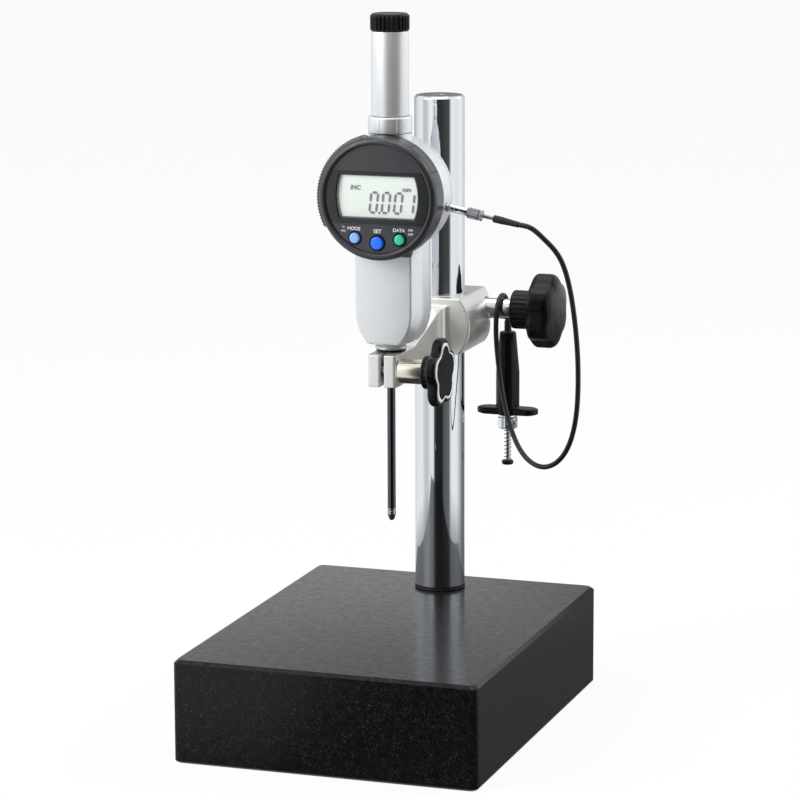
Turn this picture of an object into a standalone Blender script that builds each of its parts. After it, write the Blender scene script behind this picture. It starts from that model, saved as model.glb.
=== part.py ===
"""Comparator stand: a granite base with a round column, a sliding bracket, a digital
indicator clamped by its stem, and a cable release with its finger handle.

Lengths are in metres. X is to the right, Y to the rear and Z up. The origin is the
middle of the granite's underside. The indicator's spindle stands over that origin.
"""

import math

import bmesh
import bpy
import numpy as np
from mathutils import Matrix, Vector

# Fits
SEAT_GAP = 0.0003
RUNNING_CLEARANCE = 0.0003
CUT_OVERRUN = 0.004

# Granite base
BASE_WIDTH = 0.150
BASE_DEPTH = 0.200
BASE_HEIGHT = 0.050
BASE_CHAMFER = 0.0016
BASE_CORNER_RADIUS = 0.0030
COUNTERBORE_DIAMETER = 0.024
COUNTERBORE_DEPTH = 0.018

# Column, its foot ring and the bolt that holds it from below
THROAT = 0.075
COLUMN_INSET = 0.025
COLUMN_DIAMETER = 0.025
COLUMN_LENGTH = 0.250
COLUMN_CHAMFER = 0.0010
COLUMN_CENTRE_DIAMETER = 0.0060
COLUMN_CENTRE_DEPTH = 0.0080
FOOT_RING_WIDTH = 0.0012
FOOT_RING_HEIGHT = 0.0012
FOOT_RING_PROUD = 0.0002
BOLT_DIAMETER = 0.010
BOLT_THREAD_DEPTH = 0.020
BOLT_HEAD_DIAMETER = 0.016
BOLT_HEAD_HEIGHT = 0.010
BOLT_SOCKET_ACROSS = 0.008
BOLT_SOCKET_DEPTH = 0.005
WASHER_DIAMETER = 0.021
WASHER_THICKNESS = 0.0020

# Bracket: a clamp round the column and an arm to the split clamp
CLAMP_MIDDLE_RISE = 0.137
CLAMP_HEIGHT = 0.028
CLAMP_ROUND_RADIUS = 0.021
CLAMP_FRONT_REACH = 0.0166
CLAMP_SIDE_REACH = 0.0160
LUG_REACH = 0.0265
LUG_HALF_WIDTH = 0.012
COLUMN_SLOT_WIDTH = 0.003
ARM_HALF_WIDTH = 0.0072
ARM_FILLET_RADIUS = 0.0042
ARM_CORNER_RADIUS = 0.0012
ARM_ROOT_DEPTH = 0.006
ARM_ROOT_DROP = 0.0025
SPLIT_CLAMP_FRONT = 0.014
SPLIT_CLAMP_HEIGHT = 0.0156
SPLIT_CLAMP_TOP_DROP = 0.0026
SPLIT_SLOT_WIDTH = 0.0018
RIDGE_MIDDLE_RISE = 0.0045

# Column clamp knob
CLAMP_SCREW_DIAMETER = 0.008
CLAMP_SCREW_RISE = 0.0043
CLAMP_SCREW_CLEARANCE = 0.00085
CLAMP_SLEEVE_DIAMETER = 0.0103
CLAMP_SLEEVE_LENGTH = 0.0205
BIG_KNOB_RADIUS = 0.0187
BIG_KNOB_HUB_RADIUS = 0.00975
BIG_KNOB_HUB_LENGTH = 0.0110
BIG_KNOB_THICKNESS = 0.0110
BIG_KNOB_DOME = 0.0030
BIG_KNOB_LOBES = 6
BIG_KNOB_DOME_SHARES = (0.93, 0.72, 0.36)
BIG_KNOB_NOTCH = 0.0022

# Split clamp's screw and knob
SPLIT_SCREW_DIAMETER = 0.005
SPLIT_SCREW_FORWARD = 0.009
SPLIT_SLEEVE_DIAMETER = 0.0120
SPLIT_SLEEVE_LENGTH = 0.0122
SMALL_KNOB_RADIUS = 0.0170
SMALL_KNOB_HUB_RADIUS = 0.0081
SMALL_KNOB_HUB_LENGTH = 0.0050
SMALL_KNOB_THICKNESS = 0.0056
SMALL_KNOB_LOBES = 5
SMALL_KNOB_NOTCH = 0.0042
SMALL_KNOB_FACE_RADIUS = 0.0135
SMALL_KNOB_FACE_DEPTH = 0.0008
SMALL_KNOB_DOME_SHARE = 0.7
KNOB_SCREW_DEPTH = 0.0040
KNOB_EDGE = 0.0010

# Indicator stem
STEM_DIAMETER = 0.008
STEM_BELOW_RING = 0.0156
STEM_RING_DIAMETER = 0.0142
STEM_RING_HEIGHT = 0.0009
STEM_COLLAR_DIAMETER = 0.0153
STEM_COLLAR_TOP_DIAMETER = 0.0120
STEM_COLLAR_HEIGHT = 0.0028
STEM_SPIGOT_DIAMETER = 0.010
STEM_SPIGOT_HEIGHT = 0.0030

# Indicator case: a round housing over a tapering lower body
DISPLAY_RISE = 0.0714
HOUSING_RADIUS = 0.028
HOUSING_FRONT = 0.0072
HOUSING_REAR = 0.0083
HOUSING_WALL = 0.0040
FRONT_WALL = 0.0022
COVER_THICKNESS = 0.0024
BODY_HALF_WIDTH = 0.0169
BODY_TAPER_HEIGHT = 0.0158
TAPER_SHARES = (0.0, 0.12, 0.27, 0.45, 0.68, 1.0)
BODY_FOOT_HALF_WIDTH = 0.0105
BODY_FRONT = 0.0114
BODY_CHAMFER_WIDTH = 0.0029
BODY_CHAMFER_DEPTH = 0.0084
BODY_FLOOR = 0.0032
BODY_CAVITY_HALF_WIDTH = 0.0098
BODY_CAVITY_FRONT = 0.0084
COVER_SCREW_HEAD_DIAMETER = 0.0032
COVER_SCREW_HEAD_HEIGHT = 0.0010
COVER_SCREW_DIAMETER = 0.0016
COVER_SCREW_LENGTH = 0.0060
COVER_SCREW_TAIL_RISE = 0.0200

# Cover tube over the spindle's travel
TUBE_COLLAR_DIAMETER = 0.0212
TUBE_COLLAR_HEIGHT = 0.0077
TUBE_COLLAR_BORE = 0.0110
TUBE_COLLAR_NECK_DIAMETER = 0.0128
TUBE_COLLAR_NECK_LENGTH = 0.0050
TUBE_DIAMETER = 0.0180
TUBE_BORE = 0.0140
TUBE_LENGTH = 0.0400
CAP_DIAMETER = 0.0188
CAP_HEIGHT = 0.0080
CAP_PLUG_DEPTH = 0.0060
CAP_RIBS = 18
CAP_RIB_DEPTH = 0.0005

# Spindle and what moves with it
SPINDLE_DIAMETER = 0.004
SPINDLE_TRAVEL = 0.0508
SPINDLE_BELOW_STEM = 0.0616
CONTACT_LENGTH = 0.0062
CONTACT_DIAMETER = 0.0042
CONTACT_TIP_RADIUS = 0.0015
CONTACT_THREAD_DIAMETER = 0.0020
CONTACT_THREAD_LENGTH = 0.0030
LIFT_COLLAR_DIAMETER = 0.0100
LIFT_COLLAR_HEIGHT = 0.0055
LIFT_COLLAR_RISE = 0.0075
SPINDLE_TOP_ROOM = 0.0015
SCALE_WIDTH = 0.0060
SCALE_THICKNESS = 0.0009
SCALE_SETBACK = 0.0029
SPRING_OFFSET = 0.0036
SPRING_RADIUS = 0.0010
SPRING_WIRE = 0.0005
SPRING_TURNS = 10
BOARD_WIDTH = 0.0180
BOARD_LENGTH = 0.0300
BOARD_DROP = 0.0045
BOARD_THICKNESS = 0.0016
HEAD_LENGTH = 0.0120

# Turning display
BEZEL_RADIUS = 0.0295
BEZEL_FACE_RADIUS = 0.0290
BEZEL_DEPTH = 0.0137
BEZEL_BORE_RADIUS = 0.0272
BEZEL_LIP_RADIUS = 0.0258
BEZEL_LIP_THICKNESS = 0.0014
BEZEL_EDGE = 0.0016
BEZEL_SHOULDER_SHARE = 1.5
BEZEL_ROUND_SHARES = ((0.0, 0.8), (0.35, 0.25), (1.0, 0.0))
FACE_THICKNESS = 0.0018
WINDOW_WIDTH = 0.0410
WINDOW_HEIGHT = 0.0212
WINDOW_RISE = 0.0009
WINDOW_BULGE = 0.0018
WINDOW_THICKNESS = 0.0012
LCD_THICKNESS = 0.0016
LCD_MARGIN = 0.0008
DISPLAY_BOARD_THICKNESS = 0.0016
BUTTON_PROUD = 0.0016
BUTTON_FLANGE = 0.0006
BUTTON_FLANGE_THICKNESS = 0.0005
SIDE_BUTTON_RADIUS = 0.0025
MIDDLE_BUTTON_RADIUS = 0.0031
SIDE_BUTTON_SPACING = 0.0112
SIDE_BUTTON_DROP = 0.0189
MIDDLE_BUTTON_DROP = 0.0209
BEZEL_BACK_THICKNESS = 0.0016
HUB_RADIUS = 0.0080
HUB_BORE_RADIUS = 0.0050
HUB_CLIP_WIDTH = 0.0024
HUB_CLIP_THICKNESS = 0.0008
BATTERY_DIAMETER = 0.0079
BATTERY_THICKNESS = 0.0036
BATTERY_OFFSET = 0.0160
HATCH_START_DEGREES = 26.0
HATCH_END_DEGREES = 58.0
HATCH_DEPTH = 0.0012
HATCH_MARGIN = 0.0026

# Release fitting on the case's right side
RELEASE_TILT_DEGREES = 11.0
RELEASE_SETBACK = 0.0020
RELEASE_DROP = 0.0054
PORT_SPIGOT_DIAMETER = 0.0036
PORT_FLANGE_DIAMETER = 0.0046
PORT_FLANGE_THICKNESS = 0.0012
RELEASE_BARREL_DIAMETER = 0.0039
RELEASE_BARREL_LENGTH = 0.0087
RELEASE_NUT_DIAMETER = 0.0055
RELEASE_NUT_LENGTH = 0.0076
RELEASE_NUT_FLUTES = 12
RELEASE_NUT_FLUTE_DEPTH = 0.00025
RELEASE_NECK_DIAMETER = 0.0018
RELEASE_NECK_LENGTH = 0.0048
BOOT_DIAMETER = 0.0037
BOOT_LENGTH = 0.0130

# Lifting lever inside the case
LEVER_PIN_DIAMETER = 0.0024
LEVER_PIN_OFFSET = 0.0165
LEVER_PIN_RISE = 0.0012
LEVER_EYE_RADIUS = 0.0028
LEVER_ARM_DEPTH = 0.0022
LEVER_ARM_LENGTH = 0.0125
LEVER_TAIL_LENGTH = 0.0080
LEVER_WIDTH = 0.0036

# Release handle, hanging behind the column clamp's sleeve
HANDLE_SIDE = 0.0270
DRAPE_RADIUS = 0.0100
HANDLE_END_DROP = 0.0100
HANDLE_BOOT_LENGTH = 0.0060
HANDLE_BARREL_LENGTH = 0.0420
HANDLE_END_RADIUS = 0.0042
HANDLE_BARREL_RADIUS = 0.0060
HANDLE_BORE_RADIUS = 0.0026
HANDLE_BORE_DEPTH = 0.0300
WING_HALF_SPAN = 0.0160
WING_HALF_WIDTH = 0.0048
WING_THICKNESS = 0.0030
NECK_DIAMETER = 0.0100
NECK_LENGTH = 0.0070
LOCK_SCREW_DIAMETER = 0.0040
LOCK_SCREW_HEAD_DIAMETER = 0.0048
LOCK_SCREW_PROUD = 0.0036
LOCK_SCREW_TURN = 35.0
PLUNGER_DIAMETER = 0.0016
PLUNGER_OUT = 0.0165
PLUNGER_IN = 0.0130
THUMB_BUTTON_DIAMETER = 0.0060
THUMB_BUTTON_THICKNESS = 0.0022
PLUNGER_SPRING_RADIUS = 0.0016
PLUNGER_SPRING_WIRE = 0.0006
PLUNGER_SPRING_TURNS = 8

# Release cable, from the boot on the indicator to the handle's end
CABLE_DIAMETER = 0.0025
CABLE_LENGTH = 0.285
CABLE_POINTS = 52
CABLE_LOOP = [(0.0745, 0.0030, 0.2425), (0.0815, 0.0050, 0.2345), (0.0860, 0.0075, 0.2220),
              (0.0880, 0.0110, 0.2060), (0.0885, 0.0160, 0.1870), (0.0870, 0.0230, 0.1670),
              (0.0835, 0.0310, 0.1490), (0.0775, 0.0390, 0.1340), (0.0690, 0.0470, 0.1240),
              (0.0590, 0.0545, 0.1200), (0.0490, 0.0615, 0.1230), (0.0405, 0.0680, 0.1330),
              (0.0340, 0.0740, 0.1480), (0.0295, 0.0795, 0.1650)]

# Places that follow from the sizes above
COLUMN_BASE_Z = BASE_HEIGHT + SEAT_GAP
CLAMP_MIDDLE_Z = BASE_HEIGHT + CLAMP_MIDDLE_RISE
CLAMP_TOP_Z = CLAMP_MIDDLE_Z + CLAMP_HEIGHT / 2
CLAMP_FRONT_Y = THROAT - CLAMP_FRONT_REACH
SPLIT_TOP_Z = CLAMP_MIDDLE_Z - SPLIT_CLAMP_TOP_DROP
SPLIT_BOTTOM_Z = SPLIT_TOP_Z - SPLIT_CLAMP_HEIGHT
CLAMP_SCREW_Y = THROAT + COLUMN_DIAMETER / 2 + CLAMP_SLEEVE_DIAMETER / 2 + CLAMP_SCREW_CLEARANCE
CLAMP_SCREW_Z = CLAMP_MIDDLE_Z + CLAMP_SCREW_RISE
SPLIT_SCREW_Z = (SPLIT_TOP_Z + SPLIT_BOTTOM_Z) / 2
RING_Z = SPLIT_TOP_Z + SEAT_GAP
STEM_COLLAR_Z = RING_Z + STEM_RING_HEIGHT + SEAT_GAP
CASE_BOTTOM_Z = STEM_COLLAR_Z + STEM_COLLAR_HEIGHT + SEAT_GAP
DISPLAY_Z = CASE_BOTTOM_Z + DISPLAY_RISE
CASE_REAR_Y = HOUSING_REAR + SEAT_GAP + COVER_THICKNESS
TUBE_COLLAR_Z = DISPLAY_Z + BEZEL_RADIUS + SEAT_GAP
TUBE_Z = TUBE_COLLAR_Z + TUBE_COLLAR_HEIGHT + SEAT_GAP
CAP_Z = TUBE_Z + TUBE_LENGTH + SEAT_GAP
RELEASE_Z = DISPLAY_Z - RELEASE_DROP
LIFT_COLLAR_Z = DISPLAY_Z + LIFT_COLLAR_RISE
SPINDLE_BOTTOM_Z = SPLIT_BOTTOM_Z - SPINDLE_BELOW_STEM
HANDLE_Y = CLAMP_SCREW_Y + DRAPE_RADIUS
DRAPE_TOP_Z = CLAMP_SCREW_Z + CLAMP_SLEEVE_DIAMETER / 2 + CABLE_DIAMETER / 2 + SEAT_GAP
HANDLE_TOP_Z = DRAPE_TOP_Z - DRAPE_RADIUS - HANDLE_END_DROP

FINE_STEPS = 48
ROUND_STEPS = 32
SMALL_STEPS = 20
TINY_STEPS = 12
LOBE_STEPS = 7
TIP_TURNS = (60.0, 30.0)
CURVE_SAMPLES = 2000

# Edges that meet at more than this angle, in degrees, are shaded sharp
SHARP_ANGLE = 32.0


def clear_scene():
    for obj in list(bpy.data.objects):
        bpy.data.objects.remove(obj, do_unlink=True)


def material(name, colour, roughness, metallic=0.0):
    """A Principled material, made once and shared by the pieces of that finish."""
    found = bpy.data.materials.get(name)
    if found:
        return found
    made = bpy.data.materials.new(name)
    made.use_nodes = True
    shader = made.node_tree.nodes["Principled BSDF"]
    shader.inputs["Base Color"].default_value = (*colour, 1.0)
    shader.inputs["Roughness"].default_value = roughness
    shader.inputs["Metallic"].default_value = metallic
    made.diffuse_color = (*colour, 1.0)
    return made


def granite():
    return material("granite_black", (0.028, 0.029, 0.031), 0.38)


def chrome():
    return material("chrome_plate", (0.80, 0.82, 0.85), 0.08, 1.0)


def nickel():
    return material("nickel_plate", (0.74, 0.70, 0.60), 0.20, 1.0)


def steel():
    return material("ground_steel", (0.55, 0.56, 0.58), 0.28, 1.0)


def pearl_paint():
    return material("pearl_paint", (0.72, 0.72, 0.70), 0.32, 0.35)


def silver_paint():
    return material("silver_paint", (0.55, 0.56, 0.57), 0.42, 0.45)


def black_plastic():
    return material("black_plastic", (0.022, 0.022, 0.024), 0.42)


def dark_plastic():
    return material("dark_plastic", (0.048, 0.049, 0.054), 0.36)


def grey_gloss():
    return material("grey_gloss", (0.20, 0.22, 0.25), 0.18)


def rubber():
    return material("black_rubber", (0.018, 0.018, 0.018), 0.62)


def lcd_glass():
    return material("lcd_glass", (0.52, 0.56, 0.49), 0.30)


def clear_plastic():
    return material("clear_plastic", (0.85, 0.88, 0.88), 0.06)


def circuit_board():
    return material("circuit_board", (0.04, 0.16, 0.08), 0.45)


def button_plastic(name, colour):
    return material(name, colour, 0.40)


def empty(name, place, parent=None, rotation=(0.0, 0.0, 0.0)):
    """An empty at a world place. Its parents are never turned."""
    made = bpy.data.objects.new(name, None)
    bpy.context.scene.collection.objects.link(made)
    made.parent = parent
    offset = world_place(parent) if parent else Vector((0.0, 0.0, 0.0))
    made.location = Vector(place) - offset
    made.rotation_euler = rotation
    return made


def world_place(obj):
    place = obj.location.copy()
    while obj.parent:
        obj = obj.parent
        place = place + obj.location
    return place


def solid(name, shape, finish, parent, place=None, rotation=(0.0, 0.0, 0.0)):
    """Links a bmesh as a named object. The place is a world one, or the parent's own."""
    bmesh.ops.recalc_face_normals(shape, faces=shape.faces)
    mesh = bpy.data.meshes.new(name)
    shape.to_mesh(mesh)
    shape.free()
    mesh.materials.append(finish)
    mesh.shade_smooth()
    mesh.set_sharp_from_angle(angle=math.radians(SHARP_ANGLE))
    made = bpy.data.objects.new(name, mesh)
    bpy.context.scene.collection.objects.link(made)
    made.parent = parent
    if place is not None:
        made.location = Vector(place) - world_place(parent)
    made.rotation_euler = rotation
    return made


def helper(name, shape, parent, place=None, rotation=(0.0, 0.0, 0.0)):
    """A solid that only cuts, joins or trims another one."""
    made = solid(name, shape, steel(), parent, place, rotation)
    made.hide_render = True
    made.display_type = "WIRE"
    return made


def combine(obj, tool, operation="DIFFERENCE"):
    change = obj.modifiers.new(operation.lower(), "BOOLEAN")
    change.operation = operation
    change.object = tool
    change.solver = "EXACT"


def loft(rings, closed=False):
    """Skins rings of points. A ring of one point is a pole, and other ends are capped."""
    shape = bmesh.new()
    made = [[shape.verts.new(point) for point in ring] for ring in rings]
    pairs = list(zip(made, made[1:]))
    if closed:
        pairs.append((made[-1], made[0]))
    for low, high in pairs:
        count = max(len(low), len(high))
        for k in range(count):
            corners = [low[k % len(low)], low[(k + 1) % len(low)],
                       high[(k + 1) % len(high)], high[k % len(high)]]
            unique = list(dict.fromkeys(corners))
            shape.faces.new(unique)
    if not closed:
        for end in (made[0], made[-1]):
            if len(end) > 2:
                shape.faces.new(end)
    return shape


def circle(radius, height, steps):
    """A level ring, or one point where the radius is nothing."""
    if radius == 0.0:
        return [(0.0, 0.0, height)]
    turns = np.linspace(0.0, 2.0 * math.pi, steps, endpoint=False)
    return [(radius * math.cos(a), radius * math.sin(a), height) for a in turns]


def turned(profile, steps=ROUND_STEPS, closed=False):
    """A profile of (radius, height) turned about Z."""
    return loft([circle(radius, height, steps) for radius, height in profile], closed)


def rod(radius, low, high, steps=ROUND_STEPS):
    return turned([(radius, low), (radius, high)], steps)


def tube(outer, inner, low, high, steps=ROUND_STEPS):
    return turned([(outer, low), (outer, high), (inner, high), (inner, low)], steps, closed=True)


def prism(outline, low, high):
    """An outline of (x, y) raised between two heights."""
    return loft([[(x, y, low) for x, y in outline], [(x, y, high) for x, y in outline]])


def block(x_range, y_range, z_range):
    outline = [(x_range[0], y_range[0]), (x_range[1], y_range[0]),
               (x_range[1], y_range[1]), (x_range[0], y_range[1])]
    return prism(outline, z_range[0], z_range[1])


def arc(centre, radius, start, end, steps):
    """Points of an arc in a plane, from one angle in degrees to another."""
    angles = np.radians(np.linspace(start, end, steps + 1))
    return [(centre[0] + radius * math.cos(a), centre[1] + radius * math.sin(a)) for a in angles]


def lobed(radius, notch, lobes, height, steps):
    """A ring with rounded lobes: the notch follows a squared cosine between them."""
    points = []
    for a in np.linspace(0.0, 2.0 * math.pi, steps, endpoint=False):
        dip = notch * (0.5 - 0.5 * math.cos(lobes * a)) ** 1.5
        points.append(((radius - dip) * math.cos(a), (radius - dip) * math.sin(a), height))
    return points


def helix_tube(radius, wire, low, high, turns, points_per_turn=8, sides=4):
    """One unbroken wire of steady pitch, square to its run all the way."""
    count = turns * points_per_turn + 1
    pitch = (high - low) / turns
    rings = []
    for k in range(count):
        a = 2.0 * math.pi * k / points_per_turn
        centre = Vector((radius * math.cos(a), radius * math.sin(a), low + pitch * k / points_per_turn))
        along = Vector((-radius * math.sin(a), radius * math.cos(a), pitch / (2.0 * math.pi))).normalized()
        out = Vector((math.cos(a), math.sin(a), 0.0))
        side = along.cross(out)
        ring = []
        for s in range(sides):
            b = 2.0 * math.pi * s / sides
            ring.append(centre + (out * math.cos(b) + side * math.sin(b)) * wire / 2)
        rings.append(ring)
    return loft(rings)


def helix_gap(radius, wire, low, high, turns):
    """The least gap of a coiled wire to itself, between points of one turn and the next."""
    steps = 90
    a = np.linspace(0.0, 4.0 * math.pi, 2 * steps + 1)
    climb = (high - low) / turns * a / (2.0 * math.pi)
    line = np.stack([radius * np.cos(a), radius * np.sin(a), climb], axis=1)
    spans = np.linalg.norm(line[:, None] - line[None], axis=2)
    apart = np.abs(np.subtract.outer(a, a)) > math.pi / 2
    return spans[apart].min() - wire


# Turns that lay a piece's own Z along X, the second with one of its lobes straight up, and
# one that lays it towards the front
ALONG_X = (0.0, math.radians(90.0), 0.0)
LOBE_UP = (math.radians(180.0), math.radians(-90.0), 0.0)
TO_FRONT = (math.radians(90.0), 0.0, 0.0)


def make_base(root):
    """The granite block, the bolt, its washer and the ring at the column's foot."""
    half_x = BASE_WIDTH / 2
    half_y = BASE_DEPTH / 2
    middle_y = THROAT + COLUMN_INSET - half_y
    r = BASE_CORNER_RADIUS

    def outline(inset):
        x = half_x - inset
        y = half_y - inset
        points = []
        for cx, cy, start in ((x - r, y - r, 0), (r - x, y - r, 90),
                              (r - x, r - y, 180), (x - r, r - y, 270)):
            points += arc((cx, middle_y + cy), r, start, start + 90, 3)
        return points

    def level(inset, height):
        return [(x, y, height) for x, y in outline(inset)]

    shape = loft([level(BASE_CHAMFER / 2, 0.0), level(0.0, BASE_CHAMFER / 2),
                  level(0.0, BASE_HEIGHT - BASE_CHAMFER), level(BASE_CHAMFER, BASE_HEIGHT)])
    base = solid("granite_base", shape, granite(), root)
    bolt_hole = BOLT_DIAMETER / 2 + RUNNING_CLEARANCE
    cut = turned([(COUNTERBORE_DIAMETER / 2, -CUT_OVERRUN), (COUNTERBORE_DIAMETER / 2, COUNTERBORE_DEPTH),
                  (bolt_hole, COUNTERBORE_DEPTH), (bolt_hole, BASE_HEIGHT + CUT_OVERRUN)])
    combine(base, helper("base_bolt_cut", cut, root, (0.0, THROAT, 0.0)))

    washer_top = COUNTERBORE_DEPTH - SEAT_GAP
    washer = tube(WASHER_DIAMETER / 2, bolt_hole, washer_top - WASHER_THICKNESS, washer_top)
    solid("column_bolt_washer", washer, steel(), root, (0.0, THROAT, 0.0))

    head_top = washer_top - WASHER_THICKNESS - SEAT_GAP
    head_bottom = head_top - BOLT_HEAD_HEIGHT
    shank_top = COLUMN_BASE_Z + BOLT_THREAD_DEPTH
    shank = BOLT_DIAMETER / 2
    head = BOLT_HEAD_DIAMETER / 2
    profile = [(0.0, head_bottom), (head - KNOB_EDGE, head_bottom), (head, head_bottom + KNOB_EDGE),
               (head, head_top), (shank, head_top), (shank, shank_top - KNOB_EDGE),
               (shank - KNOB_EDGE, shank_top), (0.0, shank_top)]
    bolt = solid("column_bolt", turned(profile, SMALL_STEPS), steel(), root, (0.0, THROAT, 0.0))
    socket = rod(BOLT_SOCKET_ACROSS / math.sqrt(3.0), head_bottom - CUT_OVERRUN,
                 head_bottom + BOLT_SOCKET_DEPTH, 6)
    combine(bolt, helper("bolt_socket_cut", socket, root, (0.0, THROAT, 0.0)))

    outer = COLUMN_DIAMETER / 2 + FOOT_RING_PROUD
    ring = tube(outer, outer - FOOT_RING_WIDTH, COLUMN_BASE_Z, COLUMN_BASE_Z + FOOT_RING_HEIGHT)
    solid("column_foot_ring", ring, rubber(), root, (0.0, THROAT, 0.0))


def make_column(column):
    radius = COLUMN_DIAMETER / 2
    top = COLUMN_BASE_Z + COLUMN_LENGTH
    thread = BOLT_DIAMETER / 2 + RUNNING_CLEARANCE
    thread_top = COLUMN_BASE_Z + BOLT_THREAD_DEPTH + BOLT_SOCKET_DEPTH
    centre = COLUMN_CENTRE_DIAMETER / 2
    rebate = radius + FOOT_RING_PROUD - FOOT_RING_WIDTH - RUNNING_CLEARANCE
    shoulder = COLUMN_BASE_Z + FOOT_RING_HEIGHT + SEAT_GAP
    profile = [(0.0, thread_top), (thread, thread_top), (thread, COLUMN_BASE_Z),
               (rebate, COLUMN_BASE_Z), (rebate, shoulder), (radius, shoulder),
               (radius, top - COLUMN_CHAMFER), (radius - COLUMN_CHAMFER, top),
               (centre, top), (centre, top - COLUMN_CENTRE_DEPTH), (0.0, top - COLUMN_CENTRE_DEPTH - centre)]
    solid("column", turned(profile, FINE_STEPS), chrome(), column, (0.0, THROAT, 0.0))


def clamp_section():
    """The clamp's outline across Y: flat top and bottom, sides rounded about its middle."""
    half = CLAMP_HEIGHT / 2
    lean = math.degrees(math.asin(half / CLAMP_ROUND_RADIUS))
    right = arc((0.0, 0.0), CLAMP_ROUND_RADIUS, -lean, lean, 12)
    left = arc((0.0, 0.0), CLAMP_ROUND_RADIUS, 180.0 - lean, 180.0 + lean, 12)
    return right + left


def clamp_plan():
    """The clamp from above: straight sides that round in to the lugs behind the column."""
    wide = CLAMP_ROUND_RADIUS + CUT_OVERRUN
    points = [(-wide, -CLAMP_FRONT_REACH), (wide, -CLAMP_FRONT_REACH), (wide, CLAMP_SIDE_REACH - CUT_OVERRUN)]
    for t in np.linspace(0.0, math.pi / 2, 9):
        x = LUG_HALF_WIDTH + (CLAMP_ROUND_RADIUS - LUG_HALF_WIDTH) * math.cos(t)
        y = CLAMP_SIDE_REACH + (LUG_REACH - CLAMP_SIDE_REACH) * math.sin(t)
        points.append((x, y))
    right = points[3:]
    points += [(-x, y) for x, y in reversed(right)]
    points.append((-wide, CLAMP_SIDE_REACH - CUT_OVERRUN))
    return points


def arm_plan():
    """The arm from above, with rounded front corners and fillets where it meets the clamp."""
    w = ARM_HALF_WIDTH
    c = ARM_CORNER_RADIUS
    f = ARM_FILLET_RADIUS
    front = -SPLIT_CLAMP_FRONT
    rear = CLAMP_FRONT_Y
    right = arc((w - c, front + c), c, -90.0, 0.0, 3)
    right += arc((w + f, rear - f), f, 180.0, 90.0, 6)
    right += [(w + f, rear + ARM_ROOT_DEPTH)]
    return right + [(-x, y) for x, y in reversed(right)]


def arm_side():
    """The arm from the side, as (y, z): level over the split clamp, then climbing to the clamp."""
    rear = CLAMP_FRONT_Y + ARM_ROOT_DEPTH
    front = -SPLIT_CLAMP_FRONT - CUT_OVERRUN
    level_end = SPLIT_CLAMP_FRONT
    ridge_top = CLAMP_TOP_Z - ARM_ROOT_DROP
    middle = (CLAMP_FRONT_Y + level_end) / 2
    return [(front, SPLIT_BOTTOM_Z), (level_end, SPLIT_BOTTOM_Z),
            (CLAMP_FRONT_Y, CLAMP_TOP_Z - CLAMP_HEIGHT + SEAT_GAP),
            (rear, CLAMP_TOP_Z - CLAMP_HEIGHT + ARM_ROOT_DROP),
            (rear, ridge_top), (CLAMP_FRONT_Y, ridge_top - ARM_ROOT_DROP / 2),
            (middle, SPLIT_TOP_Z + RIDGE_MIDDLE_RISE + (ridge_top - SPLIT_TOP_Z) / 8),
            (level_end + SPLIT_CLAMP_TOP_DROP, SPLIT_TOP_Z + SPLIT_CLAMP_TOP_DROP / 3),
            (level_end, SPLIT_TOP_Z), (front, SPLIT_TOP_Z)]


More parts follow.
